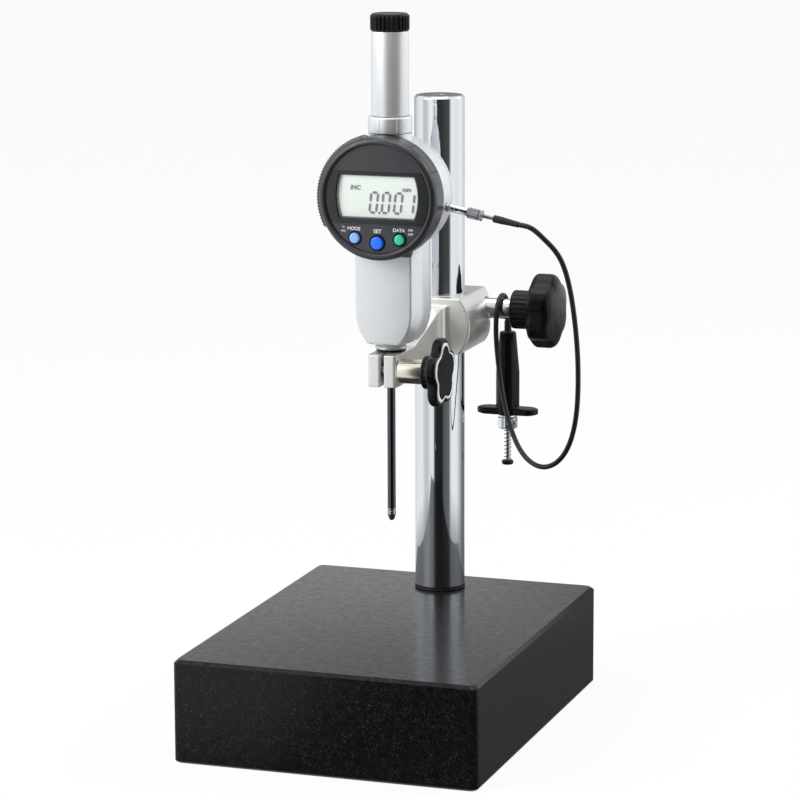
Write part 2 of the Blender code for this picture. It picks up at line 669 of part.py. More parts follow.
def make_bracket(arm):
    """The one-piece bracket: clamp, arm and split clamp, with its bores and slots."""
    column_place = (0.0, THROAT, 0.0)
    middle = (0.0, THROAT, CLAMP_MIDDLE_Z)
    body = prism(clamp_section(), -LUG_REACH, CLAMP_FRONT_REACH)
    bracket = solid("bracket", body, pearl_paint(), arm, middle, TO_FRONT)
    trim = prism(clamp_plan(), -CLAMP_HEIGHT, CLAMP_HEIGHT)
    combine(bracket, helper("clamp_trim", trim, arm, middle), "INTERSECT")

    arm_wide = ARM_HALF_WIDTH + ARM_FILLET_RADIUS + CUT_OVERRUN
    side = loft([[(x, y, z) for y, z in arm_side()] for x in (-arm_wide, arm_wide)])
    beam = helper("arm_beam", side, arm, (0.0, 0.0, 0.0))
    plan = prism(arm_plan(), SPLIT_BOTTOM_Z - CUT_OVERRUN, CLAMP_TOP_Z + CUT_OVERRUN)
    combine(beam, helper("arm_trim", plan, arm, (0.0, 0.0, 0.0)), "INTERSECT")
    combine(bracket, beam, "UNION")

    low = CLAMP_MIDDLE_Z - CLAMP_HEIGHT / 2 - CUT_OVERRUN
    high = CLAMP_TOP_Z + CUT_OVERRUN
    bore = rod(COLUMN_DIAMETER / 2 + RUNNING_CLEARANCE, low, high, FINE_STEPS)
    combine(bracket, helper("column_bore_cut", bore, arm, column_place))
    slot = block((-COLUMN_SLOT_WIDTH / 2, COLUMN_SLOT_WIDTH / 2), (0.0, LUG_REACH + CUT_OVERRUN), (low, high))
    combine(bracket, helper("column_slot_cut", slot, arm, column_place))
    screw_place = (0.0, CLAMP_SCREW_Y, CLAMP_SCREW_Z)
    screw = rod(CLAMP_SCREW_DIAMETER / 2 + RUNNING_CLEARANCE, -CLAMP_ROUND_RADIUS - CUT_OVERRUN,
                CLAMP_ROUND_RADIUS + CUT_OVERRUN, SMALL_STEPS)
    combine(bracket, helper("clamp_screw_cut", screw, arm, screw_place, ALONG_X))
    face = rod(CLAMP_SLEEVE_DIAMETER / 2 + RUNNING_CLEARANCE, LUG_HALF_WIDTH,
               CLAMP_ROUND_RADIUS + CUT_OVERRUN, SMALL_STEPS)
    combine(bracket, helper("clamp_sleeve_cut", face, arm, screw_place, ALONG_X))

    stem = rod(STEM_DIAMETER / 2 + RUNNING_CLEARANCE, SPLIT_BOTTOM_Z - CUT_OVERRUN,
               SPLIT_TOP_Z + CUT_OVERRUN, SMALL_STEPS)
    combine(bracket, helper("stem_bore_cut", stem, arm, (0.0, 0.0, 0.0)))
    slit = block((-SPLIT_SLOT_WIDTH / 2, SPLIT_SLOT_WIDTH / 2), (-SPLIT_CLAMP_FRONT - CUT_OVERRUN, 0.0),
                 (SPLIT_BOTTOM_Z - CUT_OVERRUN, SPLIT_TOP_Z + CUT_OVERRUN))
    combine(bracket, helper("split_slot_cut", slit, arm, (0.0, 0.0, 0.0)))
    hole = rod(SPLIT_SCREW_DIAMETER / 2 + RUNNING_CLEARANCE, -ARM_HALF_WIDTH - CUT_OVERRUN,
               ARM_HALF_WIDTH + CUT_OVERRUN, SMALL_STEPS)
    place = (0.0, -SPLIT_SCREW_FORWARD, SPLIT_SCREW_Z)
    combine(bracket, helper("split_screw_cut", hole, arm, place, ALONG_X))


def knob_rings(hub_radius, hub_length, radius, notch, lobes, thickness, screw_radius):
    """A knob's rings from its screw hole out over the hub to the back of its lobed disc."""
    edge = KNOB_EDGE
    steps = lobes * LOBE_STEPS
    back = hub_length
    front = hub_length + thickness
    bore = screw_radius + RUNNING_CLEARANCE
    return [circle(bore, KNOB_SCREW_DEPTH + SEAT_GAP, steps), circle(bore, 0.0, steps),
            circle(hub_radius - edge, 0.0, steps), circle(hub_radius, edge, steps),
            circle(hub_radius, back, steps), lobed(radius - edge, notch, lobes, back, steps),
            lobed(radius, notch, lobes, back + edge, steps), lobed(radius, notch, lobes, front - edge, steps)]


def make_column_clamp(knob):
    """The clamp's screw, its plated sleeve and the large knob, all turning about one X axis."""
    y = CLAMP_SCREW_Y
    z = CLAMP_SCREW_Z
    sleeve_start = LUG_HALF_WIDTH + SEAT_GAP
    sleeve_end = sleeve_start + CLAMP_SLEEVE_LENGTH
    screw = CLAMP_SCREW_DIAMETER / 2
    sleeve = tube(CLAMP_SLEEVE_DIAMETER / 2, screw + RUNNING_CLEARANCE, 0.0, CLAMP_SLEEVE_LENGTH, SMALL_STEPS)
    solid("column_clamp_sleeve", sleeve, chrome(), knob, (sleeve_start, y, z), ALONG_X)
    knob_start = sleeve_end + SEAT_GAP
    low = -LUG_HALF_WIDTH
    high = knob_start + KNOB_SCREW_DEPTH
    profile = [(0.0, low), (screw - KNOB_EDGE, low), (screw, low + KNOB_EDGE), (screw, high), (0.0, high)]
    shank = turned(profile, SMALL_STEPS)
    solid("column_clamp_screw", shank, steel(), knob, (0.0, y, z), ALONG_X)
    rings = knob_rings(BIG_KNOB_HUB_RADIUS, BIG_KNOB_HUB_LENGTH, BIG_KNOB_RADIUS, BIG_KNOB_NOTCH,
                       BIG_KNOB_LOBES, BIG_KNOB_THICKNESS, screw)
    front = BIG_KNOB_HUB_LENGTH + BIG_KNOB_THICKNESS
    steps = BIG_KNOB_LOBES * LOBE_STEPS
    for share in BIG_KNOB_DOME_SHARES:
        rise = BIG_KNOB_DOME * math.sqrt(1.0 - share ** 2)
        notch = BIG_KNOB_NOTCH * share ** 2
        rings.append(lobed(BIG_KNOB_RADIUS * share, notch, BIG_KNOB_LOBES, front + rise, steps))
    solid("column_clamp_knob", loft(rings), black_plastic(), knob, (knob_start, y, z), ALONG_X)


def make_split_clamp(knob):
    """The split clamp's screw, its sleeve, the small star knob and its glossy face."""
    y = -SPLIT_SCREW_FORWARD
    z = SPLIT_SCREW_Z
    screw = SPLIT_SCREW_DIAMETER / 2
    sleeve_start = ARM_HALF_WIDTH + SEAT_GAP
    sleeve = tube(SPLIT_SLEEVE_DIAMETER / 2, screw + RUNNING_CLEARANCE, 0.0, SPLIT_SLEEVE_LENGTH, SMALL_STEPS)
    solid("stem_clamp_sleeve", sleeve, nickel(), knob, (sleeve_start, y, z), ALONG_X)
    knob_start = sleeve_start + SPLIT_SLEEVE_LENGTH + SEAT_GAP
    high = knob_start + KNOB_SCREW_DEPTH
    shank = rod(screw, -ARM_HALF_WIDTH, high, SMALL_STEPS)
    solid("stem_clamp_screw", shank, steel(), knob, (0.0, y, z), ALONG_X)
    rings = knob_rings(SMALL_KNOB_HUB_RADIUS, SMALL_KNOB_HUB_LENGTH, SMALL_KNOB_RADIUS, SMALL_KNOB_NOTCH,
                       SMALL_KNOB_LOBES, SMALL_KNOB_THICKNESS, screw)
    front = SMALL_KNOB_HUB_LENGTH + SMALL_KNOB_THICKNESS
    steps = SMALL_KNOB_LOBES * LOBE_STEPS
    rings.append(lobed(SMALL_KNOB_RADIUS - KNOB_EDGE, SMALL_KNOB_NOTCH, SMALL_KNOB_LOBES, front, steps))
    recess = SMALL_KNOB_FACE_RADIUS + RUNNING_CLEARANCE
    face_notch = SMALL_KNOB_NOTCH * SMALL_KNOB_FACE_RADIUS / SMALL_KNOB_RADIUS
    floor = front - SMALL_KNOB_FACE_DEPTH - SEAT_GAP
    rings.append(lobed(recess, face_notch, SMALL_KNOB_LOBES, front, steps))
    rings.append(lobed(recess, face_notch, SMALL_KNOB_LOBES, floor, steps))
    solid("stem_clamp_knob", loft(rings), black_plastic(), knob, (knob_start, y, z), LOBE_UP)
    face_radius = SMALL_KNOB_FACE_RADIUS
    face = [lobed(face_radius, face_notch, SMALL_KNOB_LOBES, floor + SEAT_GAP, steps),
            lobed(face_radius, face_notch, SMALL_KNOB_LOBES, front, steps),
            lobed(face_radius * SMALL_KNOB_DOME_SHARE, face_notch * SMALL_KNOB_DOME_SHARE ** 2,
                  SMALL_KNOB_LOBES, front + SEAT_GAP, steps)]
    solid("stem_clamp_knob_face", loft(face), grey_gloss(), knob, (knob_start, y, z), LOBE_UP)


def body_half_width(height):
    """Half the lower body's width at a height over the case's bottom: a circular taper."""
    drop = BODY_HALF_WIDTH - BODY_FOOT_HALF_WIDTH
    radius = (BODY_TAPER_HEIGHT ** 2 + drop ** 2) / (2.0 * drop)
    below = max(0.0, BODY_TAPER_HEIGHT - height)
    return BODY_HALF_WIDTH - radius + math.sqrt(radius ** 2 - below ** 2)


def keyhole(margin):
    """The case from the front: a circle over the tapering tail, less a margin all round."""
    radius = HOUSING_RADIUS - margin
    half = BODY_HALF_WIDTH - margin
    meet = -math.degrees(math.acos(half / radius))
    points = arc((0.0, 0.0), radius, meet, 180.0 - meet, 36)
    tail = []
    for share in TAPER_SHARES:
        height = BODY_TAPER_HEIGHT * share
        tail.append((body_half_width(height) - margin, -DISPLAY_RISE + height + margin * (1.0 - share)))
    return points + [(-x, y) for x, y in reversed(tail)] + tail


def lower_body():
    """The lower body as level sections, chamfered towards the front, in world axes."""
    rings = []
    heights = [BODY_TAPER_HEIGHT * share for share in TAPER_SHARES] + [DISPLAY_RISE - HUB_RADIUS]
    for height in heights:
        w = body_half_width(height)
        rings.append([(w, HOUSING_REAR, height), (-w, HOUSING_REAR, height),
                      (-w, BODY_CHAMFER_DEPTH - BODY_FRONT, height),
                      (BODY_CHAMFER_WIDTH - w, -BODY_FRONT, height),
                      (w - BODY_CHAMFER_WIDTH, -BODY_FRONT, height),
                      (w, BODY_CHAMFER_DEPTH - BODY_FRONT, height)])
    return loft(rings)


def cover_screw_places():
    """The back cover's four screws, as (x, height over the display's axis)."""
    reach = HOUSING_RADIUS - HOUSING_WALL / 2
    slant = reach * math.sqrt(0.5)
    tail_x = (BODY_HALF_WIDTH + BODY_CAVITY_HALF_WIDTH) / 2
    tail_z = COVER_SCREW_TAIL_RISE - DISPLAY_RISE
    return [(slant, slant), (-slant, slant), (tail_x, tail_z), (-tail_x, tail_z)]


def make_case(indicator):
    """The hollow case with its bores, the back cover and the cover's screws."""
    middle = (0.0, 0.0, DISPLAY_Z)
    housing = turned([(HOUSING_RADIUS, -HOUSING_REAR), (HOUSING_RADIUS, HOUSING_FRONT - KNOB_EDGE),
                      (HOUSING_RADIUS - KNOB_EDGE, HOUSING_FRONT)], FINE_STEPS)
    case = solid("indicator_case", housing, silver_paint(), indicator, middle, TO_FRONT)
    tail = helper("lower_body_shape", lower_body(), indicator, (0.0, 0.0, CASE_BOTTOM_Z))
    bezel_room = rod(BEZEL_RADIUS + RUNNING_CLEARANCE, HOUSING_FRONT, BEZEL_RADIUS, FINE_STEPS)
    combine(tail, helper("bezel_room_cut", bezel_room, indicator, middle, TO_FRONT))
    combine(case, tail, "UNION")
    boss_front = HOUSING_FRONT - SEAT_GAP
    half = TUBE_COLLAR_DIAMETER / 2
    lean = math.degrees(math.asin(boss_front / half))
    boss_outline = arc((0.0, 0.0), half, -lean, 180.0 + lean, 20)
    boss_top = TUBE_COLLAR_Z - SEAT_GAP - DISPLAY_Z
    boss = helper("tube_boss_shape", prism(boss_outline, HOUSING_RADIUS / 2, boss_top), indicator, middle)
    boss_trim = block((-half, half), (-half, HOUSING_REAR), (0.0, boss_top + CUT_OVERRUN))
    combine(boss, helper("boss_rear_trim", boss_trim, indicator, middle), "INTERSECT")
    combine(case, boss, "UNION")

    hollow = turned([(HOUSING_RADIUS - HOUSING_WALL, -HOUSING_REAR - CUT_OVERRUN),
                     (HOUSING_RADIUS - HOUSING_WALL, HOUSING_FRONT - FRONT_WALL)], FINE_STEPS)
    combine(case, helper("round_hollow_cut", hollow, indicator, middle, TO_FRONT))
    tail_hollow = block((-BODY_CAVITY_HALF_WIDTH, BODY_CAVITY_HALF_WIDTH),
                        (-BODY_CAVITY_FRONT, HOUSING_REAR + CUT_OVERRUN),
                        (BODY_FLOOR, DISPLAY_RISE - BEZEL_RADIUS - HOUSING_WALL))
    combine(case, helper("tail_hollow_cut", tail_hollow, indicator, (0.0, 0.0, CASE_BOTTOM_Z)))
    link = block((-BODY_CAVITY_HALF_WIDTH, BODY_CAVITY_HALF_WIDTH),
                 (FRONT_WALL - HOUSING_FRONT, HOUSING_REAR + CUT_OVERRUN),
                 (DISPLAY_RISE / 3, DISPLAY_RISE - HUB_RADIUS))
    combine(case, helper("link_hollow_cut", link, indicator, (0.0, 0.0, CASE_BOTTOM_Z)))
    stem_hole = rod(STEM_SPIGOT_DIAMETER / 2 + RUNNING_CLEARANCE, -CUT_OVERRUN, BODY_FLOOR + CUT_OVERRUN,
                    SMALL_STEPS)
    combine(case, helper("stem_hole_cut", stem_hole, indicator, (0.0, 0.0, CASE_BOTTOM_Z)))
    neck_hole = rod(TUBE_COLLAR_NECK_DIAMETER / 2 + RUNNING_CLEARANCE,
                    HOUSING_RADIUS - HOUSING_WALL - CUT_OVERRUN, boss_top + CUT_OVERRUN, SMALL_STEPS)
    combine(case, helper("neck_hole_cut", neck_hole, indicator, middle))
    hub_hole = rod(HUB_RADIUS + RUNNING_CLEARANCE, 0.0, HOUSING_FRONT + CUT_OVERRUN, SMALL_STEPS)
    combine(case, helper("hub_hole_cut", hub_hole, indicator, middle, TO_FRONT))
    clip_room = rod(HUB_RADIUS + HUB_CLIP_WIDTH + 2.0 * SEAT_GAP, 0.0,
                    HOUSING_FRONT - FRONT_WALL + HUB_CLIP_THICKNESS + 2.0 * SEAT_GAP, SMALL_STEPS)
    combine(case, helper("clip_room_cut", clip_room, indicator, middle, TO_FRONT))
    port_hole = rod(PORT_SPIGOT_DIAMETER / 2 + RUNNING_CLEARANCE, -HOUSING_WALL - CUT_OVERRUN, CUT_OVERRUN,
                    TINY_STEPS)
    combine(case, helper("port_hole_cut", port_hole, indicator, release_point(0.0), RELEASE_TURN))

    rear = CASE_REAR_Y
    cover_shape = loft([[(x, z, -HOUSING_REAR - SEAT_GAP) for x, z in keyhole(0.0)],
                        [(x, z, KNOB_EDGE / 2 - rear) for x, z in keyhole(0.0)],
                        [(x, z, -rear) for x, z in keyhole(KNOB_EDGE / 2)]])
    cover = solid("back_cover", cover_shape, silver_paint(), indicator, middle, TO_FRONT)
    shank = COVER_SCREW_DIAMETER / 2
    head = COVER_SCREW_HEAD_DIAMETER / 2
    for k, (x, z) in enumerate(cover_screw_places()):
        place = (x, rear, DISPLAY_Z + z)
        room = turned([(head + RUNNING_CLEARANCE, -CUT_OVERRUN),
                       (head + RUNNING_CLEARANCE, COVER_SCREW_HEAD_HEIGHT + SEAT_GAP),
                       (shank + RUNNING_CLEARANCE, COVER_SCREW_HEAD_HEIGHT + SEAT_GAP),
                       (shank + RUNNING_CLEARANCE, COVER_SCREW_LENGTH + SEAT_GAP)], TINY_STEPS)
        cut = helper(f"cover_screw_cut_{k + 1}", room, indicator, place, TO_FRONT)
        combine(cover, cut)
        combine(case, cut)
        profile = [(0.0, 0.0), (head - KNOB_EDGE / 3, 0.0), (head, KNOB_EDGE / 3),
                   (head, COVER_SCREW_HEAD_HEIGHT), (shank, COVER_SCREW_HEAD_HEIGHT),
                   (shank, COVER_SCREW_LENGTH), (0.0, COVER_SCREW_LENGTH)]
        solid(f"cover_screw_{k + 1}", turned(profile, TINY_STEPS), steel(), indicator, place, TO_FRONT)


def make_stem(indicator):
    """The stem with its collar, and the thin ring under the collar."""
    bore = SPINDLE_DIAMETER / 2 + RUNNING_CLEARANCE
    bottom = RING_Z - STEM_BELOW_RING
    top = STEM_COLLAR_Z + STEM_COLLAR_HEIGHT
    spigot = STEM_SPIGOT_DIAMETER / 2
    outer = STEM_DIAMETER / 2
    profile = [(bore, bottom), (outer - KNOB_EDGE / 2, bottom), (outer, bottom + KNOB_EDGE / 2),
               (outer, STEM_COLLAR_Z), (STEM_COLLAR_DIAMETER / 2, STEM_COLLAR_Z),
               (STEM_COLLAR_DIAMETER / 2, STEM_COLLAR_Z + STEM_COLLAR_HEIGHT / 3),
               (STEM_COLLAR_TOP_DIAMETER / 2, top), (spigot, top),
               (spigot, top + STEM_SPIGOT_HEIGHT), (bore, top + STEM_SPIGOT_HEIGHT)]
    solid("stem", turned(profile, SMALL_STEPS, closed=True), chrome(), indicator, (0.0, 0.0, 0.0))
    ring = tube(STEM_RING_DIAMETER / 2, outer + RUNNING_CLEARANCE, RING_Z, RING_Z + STEM_RING_HEIGHT,
                SMALL_STEPS)
    solid("stem_ring", ring, black_plastic(), indicator, (0.0, 0.0, 0.0))


def make_cover_tube(indicator):
    """The collar on the housing, the tube over the spindle's travel and its ribbed cap."""
    bore = TUBE_BORE / 2
    collar_bore = TUBE_COLLAR_BORE / 2
    outer = TUBE_COLLAR_DIAMETER / 2
    neck = TUBE_COLLAR_NECK_DIAMETER / 2
    edge = KNOB_EDGE
    z = TUBE_COLLAR_Z
    top = z + TUBE_COLLAR_HEIGHT
    profile = [(collar_bore, z - TUBE_COLLAR_NECK_LENGTH), (neck, z - TUBE_COLLAR_NECK_LENGTH), (neck, z),
               (outer, z), (outer, top - edge), (outer - edge / 2, top), (collar_bore, top)]
    collar = turned(profile, ROUND_STEPS, closed=True)
    solid("tube_collar", collar, silver_paint(), indicator, (0.0, 0.0, 0.0))
    shell = tube(TUBE_DIAMETER / 2, bore, TUBE_Z, TUBE_Z + TUBE_LENGTH)
    solid("cover_tube", shell, silver_paint(), indicator, (0.0, 0.0, 0.0))
    steps = CAP_RIBS * 2
    cap = CAP_DIAMETER / 2
    plug = bore - RUNNING_CLEARANCE
    top = CAP_Z + CAP_HEIGHT
    rings = [circle(plug, CAP_Z - CAP_PLUG_DEPTH, steps), circle(plug, CAP_Z, steps),
             lobed(cap - edge / 3, CAP_RIB_DEPTH, CAP_RIBS, CAP_Z, steps),
             lobed(cap, CAP_RIB_DEPTH, CAP_RIBS, CAP_Z + edge / 3, steps),
             lobed(cap, CAP_RIB_DEPTH, CAP_RIBS, top - edge, steps), circle(cap - edge, top, steps)]
    solid("tube_cap", loft(rings), black_plastic(), indicator, (0.0, 0.0, 0.0))


def make_encoder(indicator):
    """The circuit board on the back cover and the reading head that faces the scale."""
    rear = HOUSING_REAR
    front = rear - BOARD_THICKNESS
    middle = DISPLAY_Z - BOARD_DROP
    half = BOARD_WIDTH / 2
    board = block((-half, half), (front, rear), (middle - BOARD_LENGTH / 2, middle + BOARD_LENGTH / 2))
    solid("encoder_board", board, circuit_board(), indicator, (0.0, 0.0, 0.0))
    head_front = SCALE_SETBACK + SCALE_THICKNESS + RUNNING_CLEARANCE
    head = block((-SCALE_WIDTH / 2, SCALE_WIDTH / 2), (head_front, front - SEAT_GAP),
                 (middle - HEAD_LENGTH / 2, middle + HEAD_LENGTH / 2))
    solid("reading_head", head, black_plastic(), indicator, (0.0, 0.0, 0.0))


def make_spindle(spindle):
    """The spindle, its contact point, the lift collar and the scale that the collar carries."""
    radius = SPINDLE_DIAMETER / 2
    top = CAP_Z - CAP_PLUG_DEPTH - SPINDLE_TRAVEL - SPINDLE_TOP_ROOM
    thread = CONTACT_THREAD_DIAMETER / 2 + RUNNING_CLEARANCE
    thread_top = SPINDLE_BOTTOM_Z + CONTACT_THREAD_LENGTH + SEAT_GAP
    profile = [(0.0, thread_top), (thread, thread_top), (thread, SPINDLE_BOTTOM_Z),
               (radius, SPINDLE_BOTTOM_Z), (radius, top), (0.0, top)]
    solid("spindle", turned(profile, SMALL_STEPS), steel(), spindle, (0.0, 0.0, 0.0))

    seat = SPINDLE_BOTTOM_Z - SEAT_GAP
    tip = seat - CONTACT_LENGTH
    stud = CONTACT_THREAD_DIAMETER / 2
    waist = CONTACT_DIAMETER / 2
    ball = CONTACT_TIP_RADIUS
    profile = [(0.0, seat + CONTACT_THREAD_LENGTH), (stud, seat + CONTACT_THREAD_LENGTH), (stud, seat),
               (waist, seat), (waist, seat - CONTACT_LENGTH / 2), (ball, tip + ball)]
    for turn in TIP_TURNS:
        angle = math.radians(turn)
        profile.append((ball * math.sin(angle), tip + ball - ball * math.cos(angle)))
    profile.append((0.0, tip))
    solid("contact_point", turned(profile, TINY_STEPS), steel(), spindle, (0.0, 0.0, 0.0))

    collar_radius = LIFT_COLLAR_DIAMETER / 2
    flat = SCALE_SETBACK - SEAT_GAP
    lean = math.degrees(math.asin(flat / collar_radius))
    outline = arc((0.0, 0.0), collar_radius, 180.0 - lean, 360.0 + lean, 20)
    collar_shape = prism(outline, LIFT_COLLAR_Z, LIFT_COLLAR_Z + LIFT_COLLAR_HEIGHT)
    collar = solid("lift_collar", collar_shape, steel(), spindle, (0.0, 0.0, 0.0))
    hole = rod(radius + RUNNING_CLEARANCE, LIFT_COLLAR_Z - CUT_OVERRUN,
               LIFT_COLLAR_Z + LIFT_COLLAR_HEIGHT + CUT_OVERRUN, SMALL_STEPS)
    combine(collar, helper("lift_collar_cut", hole, spindle, (0.0, 0.0, 0.0)))
    half = SCALE_WIDTH / 2
    strip_low = DISPLAY_Z - BOARD_DROP - HEAD_LENGTH / 2 - SPINDLE_TRAVEL
    strip = block((-half, half), (SCALE_SETBACK, SCALE_SETBACK + SCALE_THICKNESS),
                  (strip_low, LIFT_COLLAR_Z + LIFT_COLLAR_HEIGHT))
    solid("scale_strip", strip, clear_plastic(), spindle, (0.0, 0.0, 0.0))


def make_return_spring(indicator):
    """The spring beside the spindle, from the case's floor to the lift collar."""
    low = CASE_BOTTOM_Z + BODY_FLOOR + SEAT_GAP + SPRING_WIRE / 2
    high = LIFT_COLLAR_Z - SEAT_GAP - SPRING_WIRE / 2
    shape = helix_tube(SPRING_RADIUS, SPRING_WIRE, low, high, SPRING_TURNS)
    solid("return_spring", shape, steel(), indicator, (-SPRING_OFFSET, 0.0, 0.0))


def make_lever(indicator, lever):
    """The bell-crank that the release pushes, and the pin that it turns on."""
    pin_x = LEVER_PIN_OFFSET
    pin_z = DISPLAY_Z + LEVER_PIN_RISE
    front = FRONT_WALL - HOUSING_FRONT + SEAT_GAP
    pin = rod(LEVER_PIN_DIAMETER / 2, -HOUSING_REAR, -front, TINY_STEPS)
    solid("lever_pin", pin, steel(), indicator, (pin_x, 0.0, pin_z), TO_FRONT)
    eye = LEVER_EYE_RADIUS
    half = LEVER_ARM_DEPTH / 2
    outline = arc((0.0, 0.0), eye, -60.0, 150.0, 10)
    outline += [(-LEVER_ARM_LENGTH, half), (-LEVER_ARM_LENGTH, -half)]
    outline += [(-eye, -half), (-half, -eye), (-half, -LEVER_TAIL_LENGTH), (half, -LEVER_TAIL_LENGTH)]
    middle = -RELEASE_SETBACK
    shape = prism(outline, middle - LEVER_WIDTH / 2, middle + LEVER_WIDTH / 2)
    made = solid("lift_lever", shape, steel(), lever, (pin_x, 0.0, pin_z), TO_FRONT)
    hole = rod(LEVER_PIN_DIAMETER / 2 + RUNNING_CLEARANCE, -HOUSING_REAR, HOUSING_FRONT, TINY_STEPS)
    combine(made, helper("lever_pin_cut", hole, lever, (pin_x, 0.0, pin_z), TO_FRONT))


def window_outline(margin):
    """The window: straight top and bottom, ends that bulge as circular arcs."""
    half_h = WINDOW_HEIGHT / 2 - margin
    end_x = WINDOW_WIDTH / 2 - margin
    radius = (half_h ** 2 + WINDOW_BULGE ** 2) / (2.0 * WINDOW_BULGE)
    lean = math.degrees(math.asin(half_h / radius))
    right = arc((end_x - radius, WINDOW_RISE), radius, -lean, lean, 8)
    return right + [(-x, y) for x, y in reversed(right)]


def button_places():
    """Each button's name, middle, radius and colour, from left to right."""
    return [("button_mode", (-SIDE_BUTTON_SPACING, -SIDE_BUTTON_DROP), SIDE_BUTTON_RADIUS,
             (0.35, 0.45, 0.80)),
            ("button_set", (0.0, -MIDDLE_BUTTON_DROP), MIDDLE_BUTTON_RADIUS, (0.04, 0.20, 0.72)),
            ("button_data", (SIDE_BUTTON_SPACING, -SIDE_BUTTON_DROP), SIDE_BUTTON_RADIUS, (0.03, 0.52, 0.38))]


def sector(inner, outer, start, end, low, high):
    """A block bent round the display's axis between two angles in degrees."""
    outline = arc((0.0, 0.0), outer, start, end, 10) + arc((0.0, 0.0), inner, end, start, 10)
    return prism(outline, low, high)


def make_display(display):
    """The turning display. Here the local Z axis points to the front."""
    rear = HOUSING_FRONT + SEAT_GAP
    front = rear + BEZEL_DEPTH
    edge = BEZEL_EDGE
    shoulder = front - edge * BEZEL_SHOULDER_SHARE
    lip_back = front - BEZEL_LIP_THICKNESS
    profile = [(BEZEL_BORE_RADIUS, rear), (BEZEL_RADIUS - KNOB_EDGE / 2, rear),
               (BEZEL_RADIUS, rear + KNOB_EDGE / 2), (BEZEL_RADIUS, shoulder)]
    profile += [(BEZEL_FACE_RADIUS - edge * inward, front - edge * back)
                for inward, back in BEZEL_ROUND_SHARES]
    profile += [(BEZEL_LIP_RADIUS + edge / 3, front), (BEZEL_LIP_RADIUS, front - edge / 2),
                (BEZEL_LIP_RADIUS, lip_back), (BEZEL_BORE_RADIUS, lip_back)]
    ring = solid("bezel", turned(profile, FINE_STEPS, closed=True), dark_plastic(), display)
    hatch_low = rear + HATCH_MARGIN
    hatch_high = shoulder - HATCH_MARGIN / 2
    hatch_floor = BEZEL_RADIUS - HATCH_DEPTH
    gap_degrees = math.degrees(RUNNING_CLEARANCE / BEZEL_RADIUS)
    pocket = sector(hatch_floor, BEZEL_RADIUS + CUT_OVERRUN, HATCH_START_DEGREES, HATCH_END_DEGREES,
                    hatch_low, hatch_high)
    combine(ring, helper("hatch_cut", pocket, display))
    hatch = sector(hatch_floor + SEAT_GAP, BEZEL_RADIUS, HATCH_START_DEGREES + gap_degrees,
                   HATCH_END_DEGREES - gap_degrees, hatch_low + SEAT_GAP, hatch_high - SEAT_GAP)
    solid("battery_hatch", hatch, dark_plastic(), display)

    face_top = lip_back - SEAT_GAP
    face_bottom = face_top - FACE_THICKNESS
    face = solid("face_plate", rod(BEZEL_BORE_RADIUS - SEAT_GAP, face_bottom, face_top, FINE_STEPS),
                 black_plastic(), display)
    opening = prism(window_outline(0.0), face_bottom - CUT_OVERRUN, face_top + CUT_OVERRUN)
    combine(face, helper("window_cut", opening, display))
    window = prism(window_outline(SEAT_GAP), face_top - WINDOW_THICKNESS, face_top)
    solid("window", window, clear_plastic(), display)
    lcd_top = face_top - WINDOW_THICKNESS - SEAT_GAP
    lcd_bottom = lcd_top - LCD_THICKNESS
    solid("lcd_panel", prism(window_outline(LCD_MARGIN), lcd_bottom, lcd_top), lcd_glass(), display)
    board_top = lcd_bottom - SEAT_GAP
    board_bottom = board_top - DISPLAY_BOARD_THICKNESS
    board_edge = BEZEL_BORE_RADIUS - SEAT_GAP
    board = solid("display_board", rod(board_edge, board_bottom, board_top), circuit_board(), display)

    battery_room = BATTERY_DIAMETER / 2 + SEAT_GAP
    battery_angle = math.radians((HATCH_START_DEGREES + HATCH_END_DEGREES) / 2)
    battery_x = BATTERY_OFFSET * math.cos(battery_angle)
    battery_y = BATTERY_OFFSET * math.sin(battery_angle)
    battery_top = board_bottom - SEAT_GAP
    back_top = rear + BEZEL_BACK_THICKNESS + SEAT_GAP
    battery_low = max(back_top + SEAT_GAP, battery_top - BATTERY_THICKNESS)
    cell = rod(battery_room - SEAT_GAP, battery_low, battery_top, SMALL_STEPS)
    battery = solid("battery", cell, steel(), display)
    battery.location = (battery_x, battery_y, 0.0)

    for name, (x, y), radius, colour in button_places():
        top = face_top + BUTTON_PROUD
        flange_top = face_bottom - SEAT_GAP
        flange_low = flange_top - BUTTON_FLANGE_THICKNESS
        flange = radius + BUTTON_FLANGE
        hole = turned([(flange + RUNNING_CLEARANCE, face_bottom - CUT_OVERRUN),
                       (flange + RUNNING_CLEARANCE, face_bottom - CUT_OVERRUN / 2),
                       (radius + RUNNING_CLEARANCE, face_bottom - CUT_OVERRUN / 2),
                       (radius + RUNNING_CLEARANCE, face_top + CUT_OVERRUN)], SMALL_STEPS)
        cut = helper(name + "_cut", hole, display)
        cut.location = (x, y, 0.0)
        combine(face, cut)
        room = rod(flange + RUNNING_CLEARANCE, board_bottom - CUT_OVERRUN, board_top + CUT_OVERRUN,
                   SMALL_STEPS)
        well = helper(name + "_well", room, display)
        well.location = (x, y, 0.0)
        combine(board, well)
        profile = [(0.0, flange_low), (flange, flange_low), (flange, flange_top), (radius, flange_top),
                   (radius, top - KNOB_EDGE / 2), (radius - KNOB_EDGE / 2, top), (0.0, top)]
        slide = bpy.data.objects.new(name + "_slide", None)
        bpy.context.scene.collection.objects.link(slide)
        slide.parent = display
        slide.location = (x, y, 0.0)
        solid(name, turned(profile, SMALL_STEPS), button_plastic(name + "_plastic", colour), slide)

